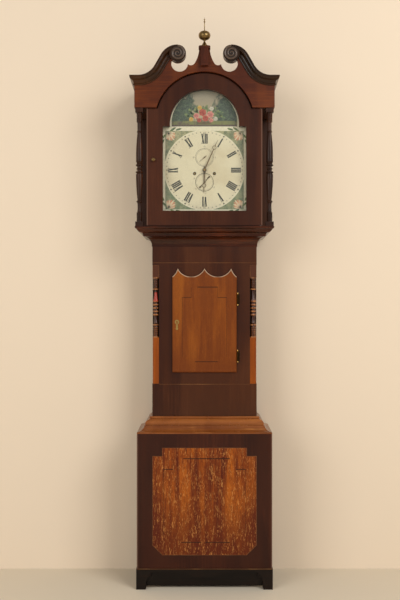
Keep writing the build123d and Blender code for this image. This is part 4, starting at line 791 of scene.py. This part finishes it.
class Bench:
    """Models pieces with the editor's own operators, and hands them over finished."""

    def __init__(self, finish: Finish) -> None:
        """Keeps the finishes."""
        self.finish = finish

    @staticmethod
    def clear() -> None:
        """Leaves edit mode and deselects everything."""
        if bpy.context.object and bpy.context.object.mode != "OBJECT":
            bpy.ops.object.mode_set(mode="OBJECT")
        bpy.ops.object.select_all(action="DESELECT")

    @staticmethod
    def edit() -> None:
        """Enters edit mode with all of the piece selected."""
        bpy.ops.object.mode_set(mode="EDIT")
        bpy.ops.mesh.select_all(action="SELECT")

    @staticmethod
    def settle() -> None:
        """Moves the piece's place, turn and size into its mesh."""
        bpy.ops.object.transform_apply(location=True, rotation=True, scale=True)

    @staticmethod
    def extrude(by: Sequence[float]) -> None:
        """Extrudes what is selected, by so many metres along each axis."""
        bpy.ops.mesh.extrude_region_move(TRANSFORM_OT_translate={"value": by})

    @staticmethod
    def close_up() -> bpy.types.Object:
        """Turns a closed piece's faces outwards, and leaves edit mode.

        Returns:
            The piece.
        """
        bpy.ops.mesh.select_all(action="SELECT")
        bpy.ops.mesh.normals_make_consistent(inside=False)
        bpy.ops.object.mode_set(mode="OBJECT")
        return bpy.context.object

    @staticmethod
    def disc(spot: Vector, radius: float, sides: int, turn: Sequence[float] = FACING) -> None:
        """Adds a flat disc.

        Args:
            spot: Its centre, in metres.
            radius: Its radius.
            sides: How many corners it has.
            turn: How it is turned.
        """
        bpy.ops.mesh.primitive_circle_add(vertices=sides, radius=radius * MM, fill_type="NGON",
                                          location=spot, rotation=turn)

    def begin(self, spot: Vector, radius: float, sides: int, turn: Sequence[float]) -> None:
        """Starts a piece from one flat disc, and enters edit mode with it selected.

        Args:
            spot: The disc's centre, in metres.
            radius: Its radius.
            sides: How many corners it has.
            turn: How it is turned.
        """
        self.clear()
        self.disc(spot, radius, sides, turn)
        self.settle()
        self.edit()

    def shaped(self, turn: float, wide: float, high: float, spot: Vector) -> None:
        """Stretches and turns the flat shape that was just added to an upright face.

        Args:
            turn: Its turn in degrees, anticlockwise from the front.
            wide: Its stretch along the face before it is turned.
            high: Its stretch upwards before it is turned.
            spot: Its centre, in metres.
        """
        if bpy.context.mode == "OBJECT":
            self.settle()
            self.edit()
        bpy.ops.transform.resize(value=(wide, 1, high), center_override=spot)
        bpy.ops.transform.rotate(value=math.radians(turn), orient_axis="Y", center_override=spot)

    def strokes(self, y: float, bars: Iterable[Bar]) -> bpy.types.Object:
        """Flat bars laid on an upright face.

        Args:
            y: The face's place in depth.
            bars: Each bar's two ends and its width.

        Returns:
            The piece, in edit mode.
        """
        self.clear()
        for (x0, z0), (x1, z1), wide in bars:
            spot = Vector(((x0 + x1) / 2, y, (z0 + z1) / 2)) * MM
            bpy.ops.mesh.primitive_plane_add(size=MM, location=spot, rotation=FACING)
            turn = math.degrees(math.atan2(z1 - z0, x1 - x0))
            self.shaped(turn, math.hypot(x1 - x0, z1 - z0), wide, spot)
        return bpy.context.object

    def discs(self, y: float, ovals: Iterable[Oval], sides: int = 14) -> bpy.types.Object:
        """Flat ovals laid on an upright face.

        Args:
            y: The face's place in depth.
            ovals: Each oval's centre, its half width, its half height and its turn clockwise in degrees.
            sides: How many corners each has.

        Returns:
            The piece, in edit mode.
        """
        self.clear()
        for x, z, wide, high, turn in ovals:
            spot = Vector((x, y, z)) * MM
            self.disc(spot, 1.0, sides)
            self.shaped(-turn, wide, high, spot)
        return bpy.context.object

    def outline(self, y: float, points: Sequence[Point], wide: float) -> bpy.types.Object:
        """A closed line of even width along an outline on an upright face.

        Args:
            y: The face's place in depth.
            points: The outline's outer corners.
            wide: The line's width.

        Returns:
            The piece.
        """
        self.clear()
        spots = [Vector((x, y, z)) * MM for x, z in points]
        bpy.ops.mesh.primitive_plane_add(size=MM, location=spots[0])
        self.edit()
        bpy.ops.mesh.merge(type="CENTER")
        for here, there in zip(spots, spots[1:]):
            self.extrude(there - here)
        bpy.ops.mesh.select_all(action="SELECT")
        bpy.ops.mesh.edge_face_add()
        bpy.ops.mesh.inset(thickness=wide * MM)
        bpy.ops.mesh.delete(type="FACE")
        return self.close_up()

    def ring(self, y: float, z: float, radius: float, wide: float) -> bpy.types.Object:
        """A flat ring on an upright face, round a point on the middle line.

        Args:
            y: The face's place in depth.
            z: The height of its centre.
            radius: Its outer radius.
            wide: Its width.

        Returns:
            The ring, in edit mode.
        """
        ring = self.discs(y, [(0, z, radius, radius, 0)], 96)
        bpy.ops.mesh.select_all(action="SELECT")
        bpy.ops.mesh.inset(thickness=wide * MM)
        bpy.ops.mesh.delete(type="FACE")
        return ring

    def raise_up(self, piece: bpy.types.Object, high: float, round_off: float = 0.0) -> None:
        """Gives a flat piece on an upright face its thickness, towards the front.

        Args:
            piece: The piece.
            high: Its thickness.
            round_off: How far its edges are rounded.
        """
        bpy.ops.object.mode_set(mode="OBJECT")
        if sum(face.normal.y * face.area for face in piece.data.polygons) > 0:
            self.edit()
            bpy.ops.mesh.flip_normals()
            bpy.ops.object.mode_set(mode="OBJECT")
        wall = piece.modifiers.new("wall", "SOLIDIFY")
        wall.thickness = high * MM
        wall.offset = 1.0
        bpy.ops.object.modifier_apply(modifier="wall")
        if round_off:
            soft = piece.modifiers.new("soft", "BEVEL")
            soft.width = round_off * MM
            soft.segments = 2
            soft.limit_method = "ANGLE"
            bpy.ops.object.modifier_apply(modifier="soft")

    def join(self, pieces: Sequence[bpy.types.Object], smooth: float = 0.0) -> bpy.types.Object:
        """Joins pieces into the first.

        Args:
            pieces: The pieces.
            smooth: The angle in degrees up to which edges are shaded smooth, or nought for none.

        Returns:
            The joined piece.
        """
        self.clear()
        for piece in pieces:
            piece.select_set(True)
        bpy.context.view_layer.objects.active = pieces[0]
        bpy.ops.object.join()
        if smooth:
            bpy.ops.object.shade_smooth_by_angle(angle=math.radians(smooth))
        return pieces[0]

    def hand_over(self, piece: bpy.types.Object, name: str, body: str, slot: str, finish: str) -> None:
        """Finishes a piece and fixes it to its body.

        Args:
            piece: The piece.
            name: Its name.
            body: The body that it rides on, or nothing for a piece that is fixed to no body.
            slot: The record's material slot, which is not used.
            finish: The name of its finish.
        """
        if piece.mode != "OBJECT":
            bpy.ops.object.mode_set(mode="OBJECT")
        self.settle()
        piece.name = name
        piece.data.name = name
        piece.data.materials.clear()
        piece.data.materials.append(self.finish[finish])
        if body:
            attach(piece, body)
        log.info("%s rides on %s", name, body or "two bodies")

    def inlay(self, piece: bpy.types.Object, high: float, name: str, body: str, slot: str, finish: str,
              round_off: float = 0.0) -> None:
        """Gives a flat piece its thickness and hands it over."""
        self.raise_up(piece, high, round_off)
        self.hand_over(piece, name, body, slot, finish)


# ---------------------------------------------------------------- sub-assemblies
@dataclass
class Carcass:
    """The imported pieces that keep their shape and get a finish."""

    bench: Bench
    rest: str = "movement_brass"
    DRESS = {
        "deal": ("backboard", "seatboard"),
        "side_mahogany": ("case_boards", "hood_carcass"),
        "base_mahogany": ("base_frame",),
        "panel_oak": ("base_panel",),
        "skirt_mahogany": ("plinth_skirt",),
        "moulding_mahogany": ("base_moulding",),
        "ledge_mahogany": ("throat_moulding", "hood_base"),
        "trunk_mahogany": ("trunk_front",),
        "trunk_column_mahogany": ("trunk_columns",),
        "satinwood": ("column_stops",),
        "door_oak": ("trunk_door",),
        "hood_mahogany": ("dial_mask", "hood_door"),
        "frieze_mahogany": ("pediment_board",),
        "neck_mahogany": ("swan_necks", "scroll_rosettes"),
        "plinth_mahogany": ("finial_plinth",),
        "column_mahogany": ("hood_columns",),
        "hinge_brass": ("trunk_hinge_leaves", "door_hinge_leaves"),
        "bright_brass": ("trunk_door_lock",),
        "aged_brass": ("finial", "hood_door_pull", "pendulum_bob"),
        "hand_brass": ("minute_hand", "hour_hand", "seconds_hand", "date_hand"),
        # the front plate's darker brass is painted shade
        "plate_brass_painted_shade": ("front_plate",),
        "steel": ("hood_door_pivots", "bell_stand", "anchor", "hammer", "pendulum_rod"),
        "old_glass": ("hood_door_glass",),
        "painted_dial_ground": ("dial_plate",),
        "gut": ("line_tops", "going_line", "strike_line"),
        "cast_iron": ("going_weight", "strike_weight"),
        "bell_metal": ("bell",),
    }

    def build(self, nodes: dict[str, bpy.types.Object]) -> None:
        """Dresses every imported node, the movement's in brass.

        Args:
            nodes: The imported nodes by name.
        """
        dress = {node: finish for finish, dressed in self.DRESS.items() for node in dressed}
        for name, node in nodes.items():
            chosen = dress.get(name, self.rest)
            node.data.materials.clear()
            node.data.materials.append(self.bench.finish[chosen])
            log.info("%s is dressed in %s", name, chosen)


@dataclass
class Base:
    """Inlaid lines of the base: a pale one round the panel, and what is left of the dark ones within it."""

    bench: Bench
    notch: Point = (40.0, 34.0)
    cant: float = 41.0
    line: float = 1.6
    proud: float = 0.25
    within: float = 44.0
    foot_runs: tuple[Point, ...] = ((-96, -14), (4, 104))
    foot_rise: float = 8.0
    foot_wide: float = 3.2
    head_run: Point = (-88, 104)
    head_wide: float = 3.6
    step_drop: float = 10.0
    step_wide: float = 3.4
    side_rise: float = 40.0
    side_wide: float = 1.2
    skirt_wide: float = 2.0

    def __post_init__(self) -> None:
        """Reads where the panel and the skirt are."""
        self.panel = Box.of("base_panel")
        self.skirt = Box.of("plinth_skirt")

    def round_panel(self, wide: float) -> list[Point]:
        """The panel's outline.

        Args:
            wide: How much wider it is all round.

        Returns:
            Its corners, from the right foot round to the left.
        """
        half, low, high = self.panel.right + wide, self.panel.foot - wide, self.panel.top + wide
        step, drop = self.notch
        right = [(half - self.cant, low), (half, low + self.cant), (half, high - drop),
                 (half - step, high - drop), (half - step, high)]
        return right + [(-x, z) for x, z in reversed(right)]

    def build(self) -> None:
        """Lays the pale line round the panel, the dark lines within it and the line over the skirt."""
        bench, panel, face = self.bench, self.panel, self.panel.front
        bench.inlay(bench.outline(face, self.round_panel(self.line / 2), self.line), self.proud,
                    "panel_stringing", "case", "satinwood", "boxwood_line")
        half, low, high = panel.right - self.within, panel.foot + self.within, panel.top - self.within
        step, drop = self.notch
        shoulder = high - drop - self.step_drop
        bars = [level(*run, low + self.foot_rise, self.foot_wide) for run in self.foot_runs]
        bars.append(level(*self.head_run, high, self.head_wide))
        for outer, inner in ((-half, step - half), (half, half - step)):
            bars += [level(outer, inner, shoulder, self.step_wide),
                     upright(outer, low + self.side_rise, shoulder - 2, self.side_wide),
                     upright(inner, shoulder + 2, high, self.side_wide)]
        bench.inlay(bench.strokes(face, bars), self.proud,
                    "panel_inner_lines", "case", "dark_mahogany", "ebony_line")
        reach, top = self.skirt.right - 1, self.skirt.top - 1.6
        bench.inlay(bench.strokes(self.skirt.front, [level(-reach, reach, top, self.skirt_wide)]),
                    self.proud, "skirt_line", "case", "satinwood", "boxwood_line")


@dataclass
class Trunk:
    """Inlaid lines of the trunk."""

    bench: Bench
    above: float = 10.0
    below: float = 2.0
    proud: float = 0.25
    block_wide: float = 27.5
    block_high: float = 50.0
    from_edge: float = 0.8
    foot_wide: float = 1.4
    head_wide: float = 1.6
    side_wide: float = 1.2

    def build(self) -> None:
        """Lays the level lines over and under the columns, and the lines round their square blocks."""
        bench = self.bench
        front, column, stop = Box.of("trunk_front"), Box.of("trunk_columns"), Box.of("column_stops")
        inner, reach = column.right - self.block_wide, front.right - 2
        bars = [level(-inner, inner, stop.foot - self.below, self.foot_wide),
                level(-reach, reach, column.top + self.above, self.head_wide)]
        bench.inlay(bench.strokes(front.front, bars), self.proud,
                    "trunk_lines", "case", "satinwood", "boxwood_line")
        low, high, bars = column.top - self.block_high, column.top, []
        for side in (-1, 1):
            for x in (inner + self.from_edge, column.right - self.from_edge):
                bars.append(upright(side * x, low, high, self.side_wide))
            for z in (low, high - self.from_edge):
                bars.append(level(side * inner, side * column.right, z, self.foot_wide))
        bench.inlay(bench.strokes(column.front, bars), self.proud,
                    "column_block_lines", "case", "satinwood", "boxwood_line")


@dataclass
class TrunkDoor:
    """Inlaid lines and hinge tips of the trunk door.

    Each step of a tip's turning is a rise, and how much wider the tip is after it than before.
    """

    bench: Bench
    aside: float = 41.5
    over_foot: float = 45.0
    shoulder: float = 122.0
    under_top: float = 78.0
    step: float = 55.0
    head_start: float = -30.0
    foot_start: float = -40.0
    side_rise: float = 20.0
    proud: float = 0.25
    pin: float = 3.2
    pin_in: float = 4.0
    leaf: float = 40.0
    TURNING = ((1.2, 0.55), (0.8, 1.5), (1.3, 1.25), (1.6, 1.0), (1.3, 0.72), (0.7, 0.4))

    def lines(self) -> None:
        """Lays the dark lines that follow the door's shape."""
        bench, door = self.bench, Box.of("trunk_door")
        half, low = door.right - self.aside, door.foot + self.over_foot
        shoulder, high = door.top - self.shoulder, door.top - self.under_top
        bars = [level(self.head_start, self.step, high, 3.2), level(self.foot_start, self.step, low, 2.6)]
        for side in (-1, 1):
            bars += [level(side * half, side * self.step, shoulder, 2.0),
                     upright(side * half, low + self.side_rise, shoulder, 1.0),
                     upright(side * self.step, shoulder, high, 1.0)]
        bench.inlay(bench.strokes(door.front, bars), self.proud,
                    "door_inner_lines", "trunk_door", "dark_mahogany", "ebony_line")

    def hinge_tips(self) -> None:
        """Turns the ball tips at both ends of each hinge pin."""
        leaves, made = Box.of("trunk_hinge_leaves"), []
        x, y = leaves.left + self.pin_in, leaves.front + self.pin_in
        for z, out in ((leaves.foot, -MM), (leaves.foot + self.leaf, MM), (leaves.top - self.leaf, -MM),
                       (leaves.top, MM)):
            spot = Vector((x, y, z)) * MM
            self.bench.begin(spot, self.pin, 20, FLAT)
            for rise, swell in self.TURNING:
                step = Vector((0, 0, out * rise))
                self.bench.extrude(step)
                spot = spot + step
                bpy.ops.transform.resize(value=(swell, swell, 1), center_override=spot)
            made.append(self.bench.close_up())
        self.bench.hand_over(self.bench.join(made, 50), "hinge_tips", "case", "brass", "bright_brass")

    def build(self) -> None:
        """Fits out the door."""
        self.lines()
        self.hinge_tips()


@dataclass
class Scrolls:
    """Carved volutes in the eyes of the swan necks: a tapering bead that winds in over a dished round."""

    bench: Bench
    reach: float = 29.0
    last_reach: float = 2.0
    outer: float = 4.6
    inner: float = 2.4
    turns: float = 2.3
    steps: int = 90
    sunk: float = 0.8
    behind_necks: float = 3.0
    clearance: float = 0.3

    def __post_init__(self) -> None:
        """Reads where the rosettes sit."""
        rosettes, necks = Box.of("scroll_rosettes"), Box.of("swan_necks")
        self.round = (rosettes.top - rosettes.foot) / 2
        self.centre = rosettes.right - self.round
        self.height = (rosettes.top + rosettes.foot) / 2
        self.seat = rosettes.back
        self.face = necks.front + self.behind_necks

    def backing(self, side: int) -> bpy.types.Object:
        """The round that the volute is carved on.

        Args:
            side: Minus one for the left, one for the right.

        Returns:
            The round.
        """
        spot = Vector((side * self.centre, self.seat, self.height)) * MM
        self.bench.begin(spot, self.round - self.clearance, 48, FACING)
        self.bench.extrude((0, (self.face - self.seat) * MM, 0))
        bpy.ops.mesh.inset(thickness=self.round / 2 * MM, depth=-self.sunk * MM)
        return self.bench.close_up()

    def at(self, side: int, step: int) -> tuple[Vector, float]:
        """A place along the spiral.

        Args:
            side: Minus one for the left, one for the right.
            step: How far along it is.

        Returns:
            The place in metres, and its turn anticlockwise from the right.
        """
        share = step / self.steps
        turn = math.pi / 2 + side * 2 * math.pi * self.turns * share
        reach = self.reach * (1 - share) + self.last_reach * share
        spot = Vector((side * self.centre + reach * math.cos(turn), self.face - self.sunk,
                       self.height + reach * math.sin(turn)))
        return spot * MM, turn

    def spiral(self, side: int) -> bpy.types.Object:
        """The bead that winds in to the middle.

        Args:
            side: Minus one for the left, one for the right.

        Returns:
            The bead.
        """
        here, turn = self.at(side, 0)
        self.bench.begin(here, self.outer, 12, (0, math.pi / 2, 0))
        shrink = (self.inner / self.outer) ** (1 / self.steps)
        for step in range(1, self.steps + 1):
            there, angle = self.at(side, step)
            self.bench.extrude(there - here)
            bpy.ops.transform.rotate(value=angle - turn, orient_axis="Y", center_override=there)
            bpy.ops.transform.resize(value=(shrink, shrink, shrink), center_override=there)
            here, turn = there, angle
        return self.bench.close_up()

    def build(self) -> None:
        """Carves both volutes."""
        made = [carve(side) for side in (-1, 1) for carve in (self.backing, self.spiral)]
        piece = self.bench.join(made, 40)
        self.bench.hand_over(piece, "scroll_volutes", "hood", "dark_mahogany", "volute_mahogany")
        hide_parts("scroll_rosettes")


@dataclass
class GutLines:
    """The two falls of gut that carry each weight, fast to the seatboard above and to the pulley below."""

    bench: Bench
    width: float = 1.8
    lengths: int = 26
    sides: int = 10

    def fall(self, x: float, y: float, top: float, foot: float) -> bpy.types.Object:
        """One straight fall of gut.

        Args:
            x: Its middle, right of the clock's middle.
            y: Its middle, in depth.
            top: Its upper end.
            foot: Its lower end.

        Returns:
            The gut.
        """
        self.bench.begin(Vector((x, y, top)) * MM, self.width / 2, self.sides, FLAT)
        for _ in range(self.lengths):
            self.bench.extrude((0, 0, (foot - top) / self.lengths * MM))
        return self.bench.close_up()

    def build(self) -> None:
        """Hangs both pairs of falls."""
        edge = self.width / 2
        for side in ("going", "strike"):
            box = Box.of(f"{side}_line")
            y = (box.front + box.back) / 2
            falls = [self.fall(x, y, box.top, box.foot) for x in (box.left + edge, box.right - edge)]
            piece = self.bench.join(falls)
            self.bench.hand_over(piece, f"{side}_falls", "", "gut", "gut")
            y * MM
            y * MM
            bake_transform(piece)
            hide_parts(f"{side}_line")


@dataclass
class Dial:
    """Everything painted on the dial over its ground, and the fittings of its hands."""

    bench: Bench
    centre: float = 1734.0
    face: float = -75.25
    numeral: Point = (111.0, 151.0)
    thick: float = 5.6
    thin: float = 1.9
    hair: float = 1.0
    serif: float = 3.4
    dots: float = 158.0
    seconds: float = 53.0
    date: float = -50.5
    small: float = 38.5
    coat: float = 0.15
    relief: float = 0.2
    corner: Point = (152.0, 157.0)
    ribs: int = 9
    arch: float = 214.0
    date_turn: float = 42.0
    NUMERALS = ("XII", "I", "II", "III", "IIII", "V", "VI", "VII", "VIII", "IX", "X", "XI")
    WIDTHS = {"I": 7.2, "V": 13.0, "X": 13.5}
    ROSES = {"rose_pink": ((-34, 12, 12), (24, 18, 14), (28, -6, 9)),
             "rose_red": ((-8, 26, 15), (4, 2, 13), (-22, -6, 9)),
             "flower_white": ((46, 0, 9), (30, 42, 9)),
             "flower_gold": ((-56, -2, 9), (-20, 46, 9))}
    PETALS = ((6, 0.62, 0.46), (5, 0.32, 0.34), (1, 0.0, 0.26))

    def spot(self, turn: float, reach: float, rise: float = 0.0) -> Point:
        """A point on the dial round its centre, or round one that is higher."""
        return around(0, self.centre + rise, turn, reach)

    def painted(self, piece: bpy.types.Object, name: str, finish: str, high: float,
                round_off: float = 0.0) -> None:
        """Hands over a flat piece as paint on the dial."""
        self.bench.inlay(piece, high, name, "case", "painted_dial", finish, round_off)

    def letter(self, kind: str, left: float) -> list[Bar]:
        """One roman letter's bars, upright, from its left edge.

        Args:
            kind: I, V or X.
            left: Its left edge.

        Returns:
            Its bars, with heights from the dial's centre.
        """
        low, high = self.numeral
        mid = left + self.WIDTHS[kind] / 2
        span = self.WIDTHS[kind] / 2 - self.thick / 2 - 0.4
        if kind == "I":
            return [upright(mid, low, high, self.thick)] + [
                level(mid - self.serif, mid + self.serif, z, self.hair) for z in (low, high)]
        start, end = mid - span, mid + span
        if kind == "V":
            return [((start, high), (mid, low), self.thick), ((end + 1, high), (mid + 0.8, low), self.thin),
                    level(start - 4, start + 4, high, self.hair), level(end - 2, end + 4, high, self.hair)]
        return [((start, high), (end, low), self.thick), ((end, high), (start, low), self.thin),
                level(start - 4, start + 3, high, self.hair), level(end - 3, end + 3, high, self.hair),
                level(end - 3, end + 4, low, self.hair), level(start - 3, start + 3, low, self.hair)]

    def turned(self, point: Point, turn: float) -> Point:
        """A point carried round the dial's centre clockwise."""
        a, (x, z) = math.radians(turn), point
        return x * math.cos(a) + z * math.sin(a), self.centre - x * math.sin(a) + z * math.cos(a)

    def numerals(self) -> None:
        """Paints the twelve roman numerals with their feet to the centre."""
        bars = []
        for hour, word in enumerate(self.NUMERALS):
            left = -sum(self.WIDTHS[kind] for kind in word) / 2
            for kind in word:
                bars += [(self.turned(start, hour * 30), self.turned(end, hour * 30), wide)
                         for start, end, wide in self.letter(kind, left)]
                left += self.WIDTHS[kind]
        self.painted(self.bench.strokes(self.face, bars), "dial_numerals", "numeral_black", self.coat)

    def minutes(self) -> None:
        """Paints the minute dots, larger and further out at the hours, and none at the quarters."""
        dots = []
        for minute in range(60):
            if minute % 15:
                out, size = (0, 1.8) if minute % 5 else (3, 3.3)
                dots.append((*self.spot(minute * 6, self.dots + out), size, size, minute * 6))
        self.painted(self.bench.discs(self.face, dots, 8), "dial_minute_dots", "numeral_black", self.coat)

    def figures(self) -> None:
        """Paints the small figures: minutes, seconds and days."""
        quarters, near, made = (15, 30, 45, 60), self.small + 6.5, []
        for numbers, whole, reach, rise, size in (
                (quarters, 60, self.dots - 2.5, 0.0, 8.5), (quarters, 60, near, self.seconds, 6.5),
                ((5, 10, 15, 20, 25, 31), 31, near, self.date, 6.0)):
            for number in numbers:
                self.bench.clear()
                turn = number * 360 / whole
                x, z = self.spot(turn, reach, rise)
                bpy.ops.object.text_add(location=(x * MM, self.face * MM, z * MM),
                                        rotation=(math.pi / 2, math.radians(turn), 0))
                text = bpy.context.object.data
                text.body = str(number)
                text.size = size * MM * 1.3
                text.align_x = text.align_y = "CENTER"
                text.resolution_u = 3
                bpy.ops.object.convert(target="MESH")
                self.bench.settle()
                made.append(bpy.context.object)
        self.painted(self.bench.join(made), "dial_figures", "figure_grey", self.coat)

    def rings(self) -> None:
        """Paints the lines of the seconds and date rings, with their divisions."""
        made = []
        for rise, within, wide in ((self.seconds, 0, 0.8), (self.seconds, 4.5, 0.5), (self.date, 0, 2.0),
                                   (self.date, 5.5, 0.5)):
            made.append(self.bench.ring(self.face, self.centre + rise, self.small - within, wide))
        bars = []
        for count, rise, inner, outer, wides in ((60, self.seconds, 4.2, 0.4, (1.1, 0.6, 0.6, 0.6, 0.6)),
                                                 (31, self.date, 5, 1, (0.9,))):
            for k in range(count):
                turn = k * 360 / count
                bars.append((self.spot(turn, self.small - inner, rise),
                             self.spot(turn, self.small - outer, rise), wides[k % len(wides)]))
        made.append(self.bench.strokes(self.face, bars))
        self.painted(self.bench.join(made), "dial_rings", "figure_grey", self.coat)

    def shells(self) -> None:
        """Paints a scallop shell with leaves in each corner, in low relief."""
        ribs, grooves, leaves = [], [], []
        for side_x, side_z in ((-1, 1), (1, 1), (-1, -1), (1, -1)):
            root = (side_x * self.corner[0], self.centre + side_z * self.corner[1])
            lean = math.degrees(math.atan2(-side_x * 0.8, -side_z))
            for k in range(self.ribs):
                place = k - self.ribs // 2
                half = 21.0 - abs(place) * 1.6
                (grooves if k % 2 else ribs).append(petal(*root, lean + place * 12.5, half, 3.8, half))
            for turn, reach, half in ((84, 24, 15), (-84, 24, 15), (68, 46, 13), (-68, 46, 13)):
                leaves.append(petal(*root, lean + turn, reach, 4.2, half))
        for ovals, name, finish, high in ((leaves, "dial_corner_leaves", "leaf_green", self.relief),
                                          (ribs, "dial_shell_ribs", "shell_cream", 3 * self.relief),
                                          (grooves, "dial_shell_grooves", "shell_pink", 2 * self.relief)):
            self.painted(self.bench.discs(self.face, ovals), name, finish, high, 0.15)

    def pointers(self) -> None:
        """Fits the date hand's double pointer and the hour hand's flared boss."""
        bench, across = self.bench, self.centre + self.date
        y = Box.of("date_hand").front + 0.3
        tip, tail = (around(0, across, self.date_turn, reach) for reach in (29, -27))
        stem = bench.strokes(y, [(tail, tip, 2.6)])
        bench.raise_up(stem, 0.25)
        ends = bench.discs(y, [(*tip, 3.4, 5.0, self.date_turn), (*tail, 3.4, 5.0, self.date_turn),
                               (0, across, 4.2, 4.2, 0)])
        bench.raise_up(ends, 0.3, 0.1)
        bench.hand_over(bench.join([stem, ends]), "date_pointer", "date", "brass", "dark_hand")
        boss = [(0, self.centre, 8.5, 8.5, 0), (0, self.centre - 9, 4.5, 9, 0),
                (0, self.centre + 8, 3.5, 7, 0)]
        bench.inlay(bench.discs(Box.of("hour_hand").front, boss, 24), 0.5,
                    "hour_hand_boss", "hour_arbor", "brass", "dark_hand", 0.15)

    def basket(self) -> None:
        """Paints the basket and the leaves round it in the arch."""
        middle = self.centre + self.arch
        weave = [((-26 + k * 5.2, middle - 22), (-34 + k * 6.8, middle + 2), 2.6) for k in range(11)]
        for k in range(4):
            half = 27 + k * 2.2
            weave.append(level(-half, half, middle - 20 + k * 6.5, 2.2))
        self.painted(self.bench.strokes(self.face, weave), "dial_basket", "basket_brown", self.relief)
        leaves, count = [], 22
        for k in range(count):
            turn = -100 + k * 200 / (count - 1)
            a, reach = math.radians(turn), 42 + 9 * (k % 3)
            leaves.append((reach * 1.25 * math.sin(a), middle + 10 + reach * 0.62 * math.cos(a), 5.0, 13.0,
                           turn + 25 * (k % 3 - 1)))
        self.painted(self.bench.discs(self.face, leaves), "dial_rose_leaves", "leaf_green", self.relief, 0.08)

    def roses(self) -> None:
        """Paints the roses in the basket, each of three rings of petals."""
        middle = self.centre + self.arch
        for finish, roses in self.ROSES.items():
            made = []
            for x, z, size in roses:
                for ring, (count, reach, half) in enumerate(self.PETALS):
                    petals = [petal(x, middle + z, 360 * k / count + 24 * ring + x, size * reach,
                                    size * half, size * half * 0.86) for k in range(count)]
                    piece = self.bench.discs(self.face, petals, 12)
                    self.bench.raise_up(piece, 0.3 + 0.16 * ring, 0.1)
                    made.append(piece)
            self.bench.hand_over(self.bench.join(made), f"dial_{finish}", "case", "painted_dial", finish)

    def build(self) -> None:
        """Fits the hands and paints the dial."""
        for step in (self.pointers, self.numerals, self.minutes, self.figures, self.rings, self.shells,
                     self.basket, self.roses):
            step()


# ---------------------------------------------------------------- studio
@dataclass
class Studio:
    """Pale floor and wall, soft light and the camera, in metres."""

    distance: float = 3.714
    height: float = 1.193
    lens: float = 52.4
    aside: float = -0.0075
    wall: float = 0.165
    extent: float = 14.0
    aim: float = 1.25
    sky: float = 0.36
    floor_colour: Colour = (226, 214, 194)
    wall_colour: Colour = (238, 221, 199)
    sky_colour: Colour = (250, 246, 238)
    LAMPS = (("key", (2.6, -3.6, 3.2), 2.4, 118.0), ("fill", (-3.0, -4.0, 2.4), 2.8, 84.0))

    def backdrop(self) -> None:
        """Lays the floor and stands the wall behind the clock."""
        for name, spot, turn, colour in (("floor", (0, 0, 0), FLAT, self.floor_colour),
                                         ("wall", (0, self.wall, 3.0), FACING, self.wall_colour)):
            Bench.clear()
            bpy.ops.mesh.primitive_plane_add(size=self.extent, location=spot, rotation=turn)
            plane = bpy.context.object
            plane.name = name
            s = Shader(name + "_paint")
            tone = s.noise(s.place, 2.0, detail=3.0, rough=0.5)
            flat = s.node("ShaderNodeBsdfDiffuse", {},
                          {"Color": s.mix(tone * 0.12, colour, darker(colour, 0.93))})
            clear = s.node("ShaderNodeBsdfTransparent")
            back = s.node("ShaderNodeNewGeometry", output="Backfacing")
            plane.data.materials.append(
                s.ended(s.node("ShaderNodeMixShader", {}, {0: back, 1: flat, 2: clear})))

    def lamps(self) -> None:
        """Hangs two large soft lamps and an even sky."""
        for name, spot, size, power in self.LAMPS:
            bpy.ops.object.light_add(type="AREA", location=spot)
            lamp = bpy.context.object
            lamp.name = name
            lamp.data.size = size
            lamp.data.energy = power
            lamp.data.color = (1.0, 0.985, 0.96)
            aim = Vector((0, 0, self.aim)) - Vector(spot)
            lamp.rotation_euler = aim.to_track_quat("-Z", "Y").to_euler()
        world = bpy.data.worlds.new("room")
        bpy.context.scene.world = world
        world.use_nodes = True
        ground = world.node_tree.nodes["Background"]
        ground.inputs["Color"].default_value = paint(self.sky_colour)
        ground.inputs["Strength"].default_value = self.sky

    def camera(self) -> None:
        """Sets up the camera in front of the clock."""
        bpy.ops.object.camera_add(location=(0, -self.distance, self.height), rotation=FACING)
        camera = bpy.context.object
        camera.data.sensor_fit = "AUTO"
        camera.data.sensor_width = 36.0
        camera.data.lens = self.lens
        camera.data.shift_x = self.aside
        bpy.context.scene.camera = camera

    def build(self) -> None:
        """Sets the stage."""
        self.backdrop()
        self.lamps()
        self.camera()
        bpy.context.scene.view_settings.view_transform = "Standard"


def main() -> None:
    """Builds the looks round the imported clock."""
    logging.basicConfig(level=logging.INFO, format="%(name)s: %(message)s")
    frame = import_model()
    bench = Bench(Finish())
    Carcass(bench).build(frame["nodes"])
    for part in (Base, Trunk, TrunkDoor, Scrolls, GutLines, Dial):
        part(bench).build()
    Studio().build()
    Bench.clear()


if __name__ == "__main__":
    main()
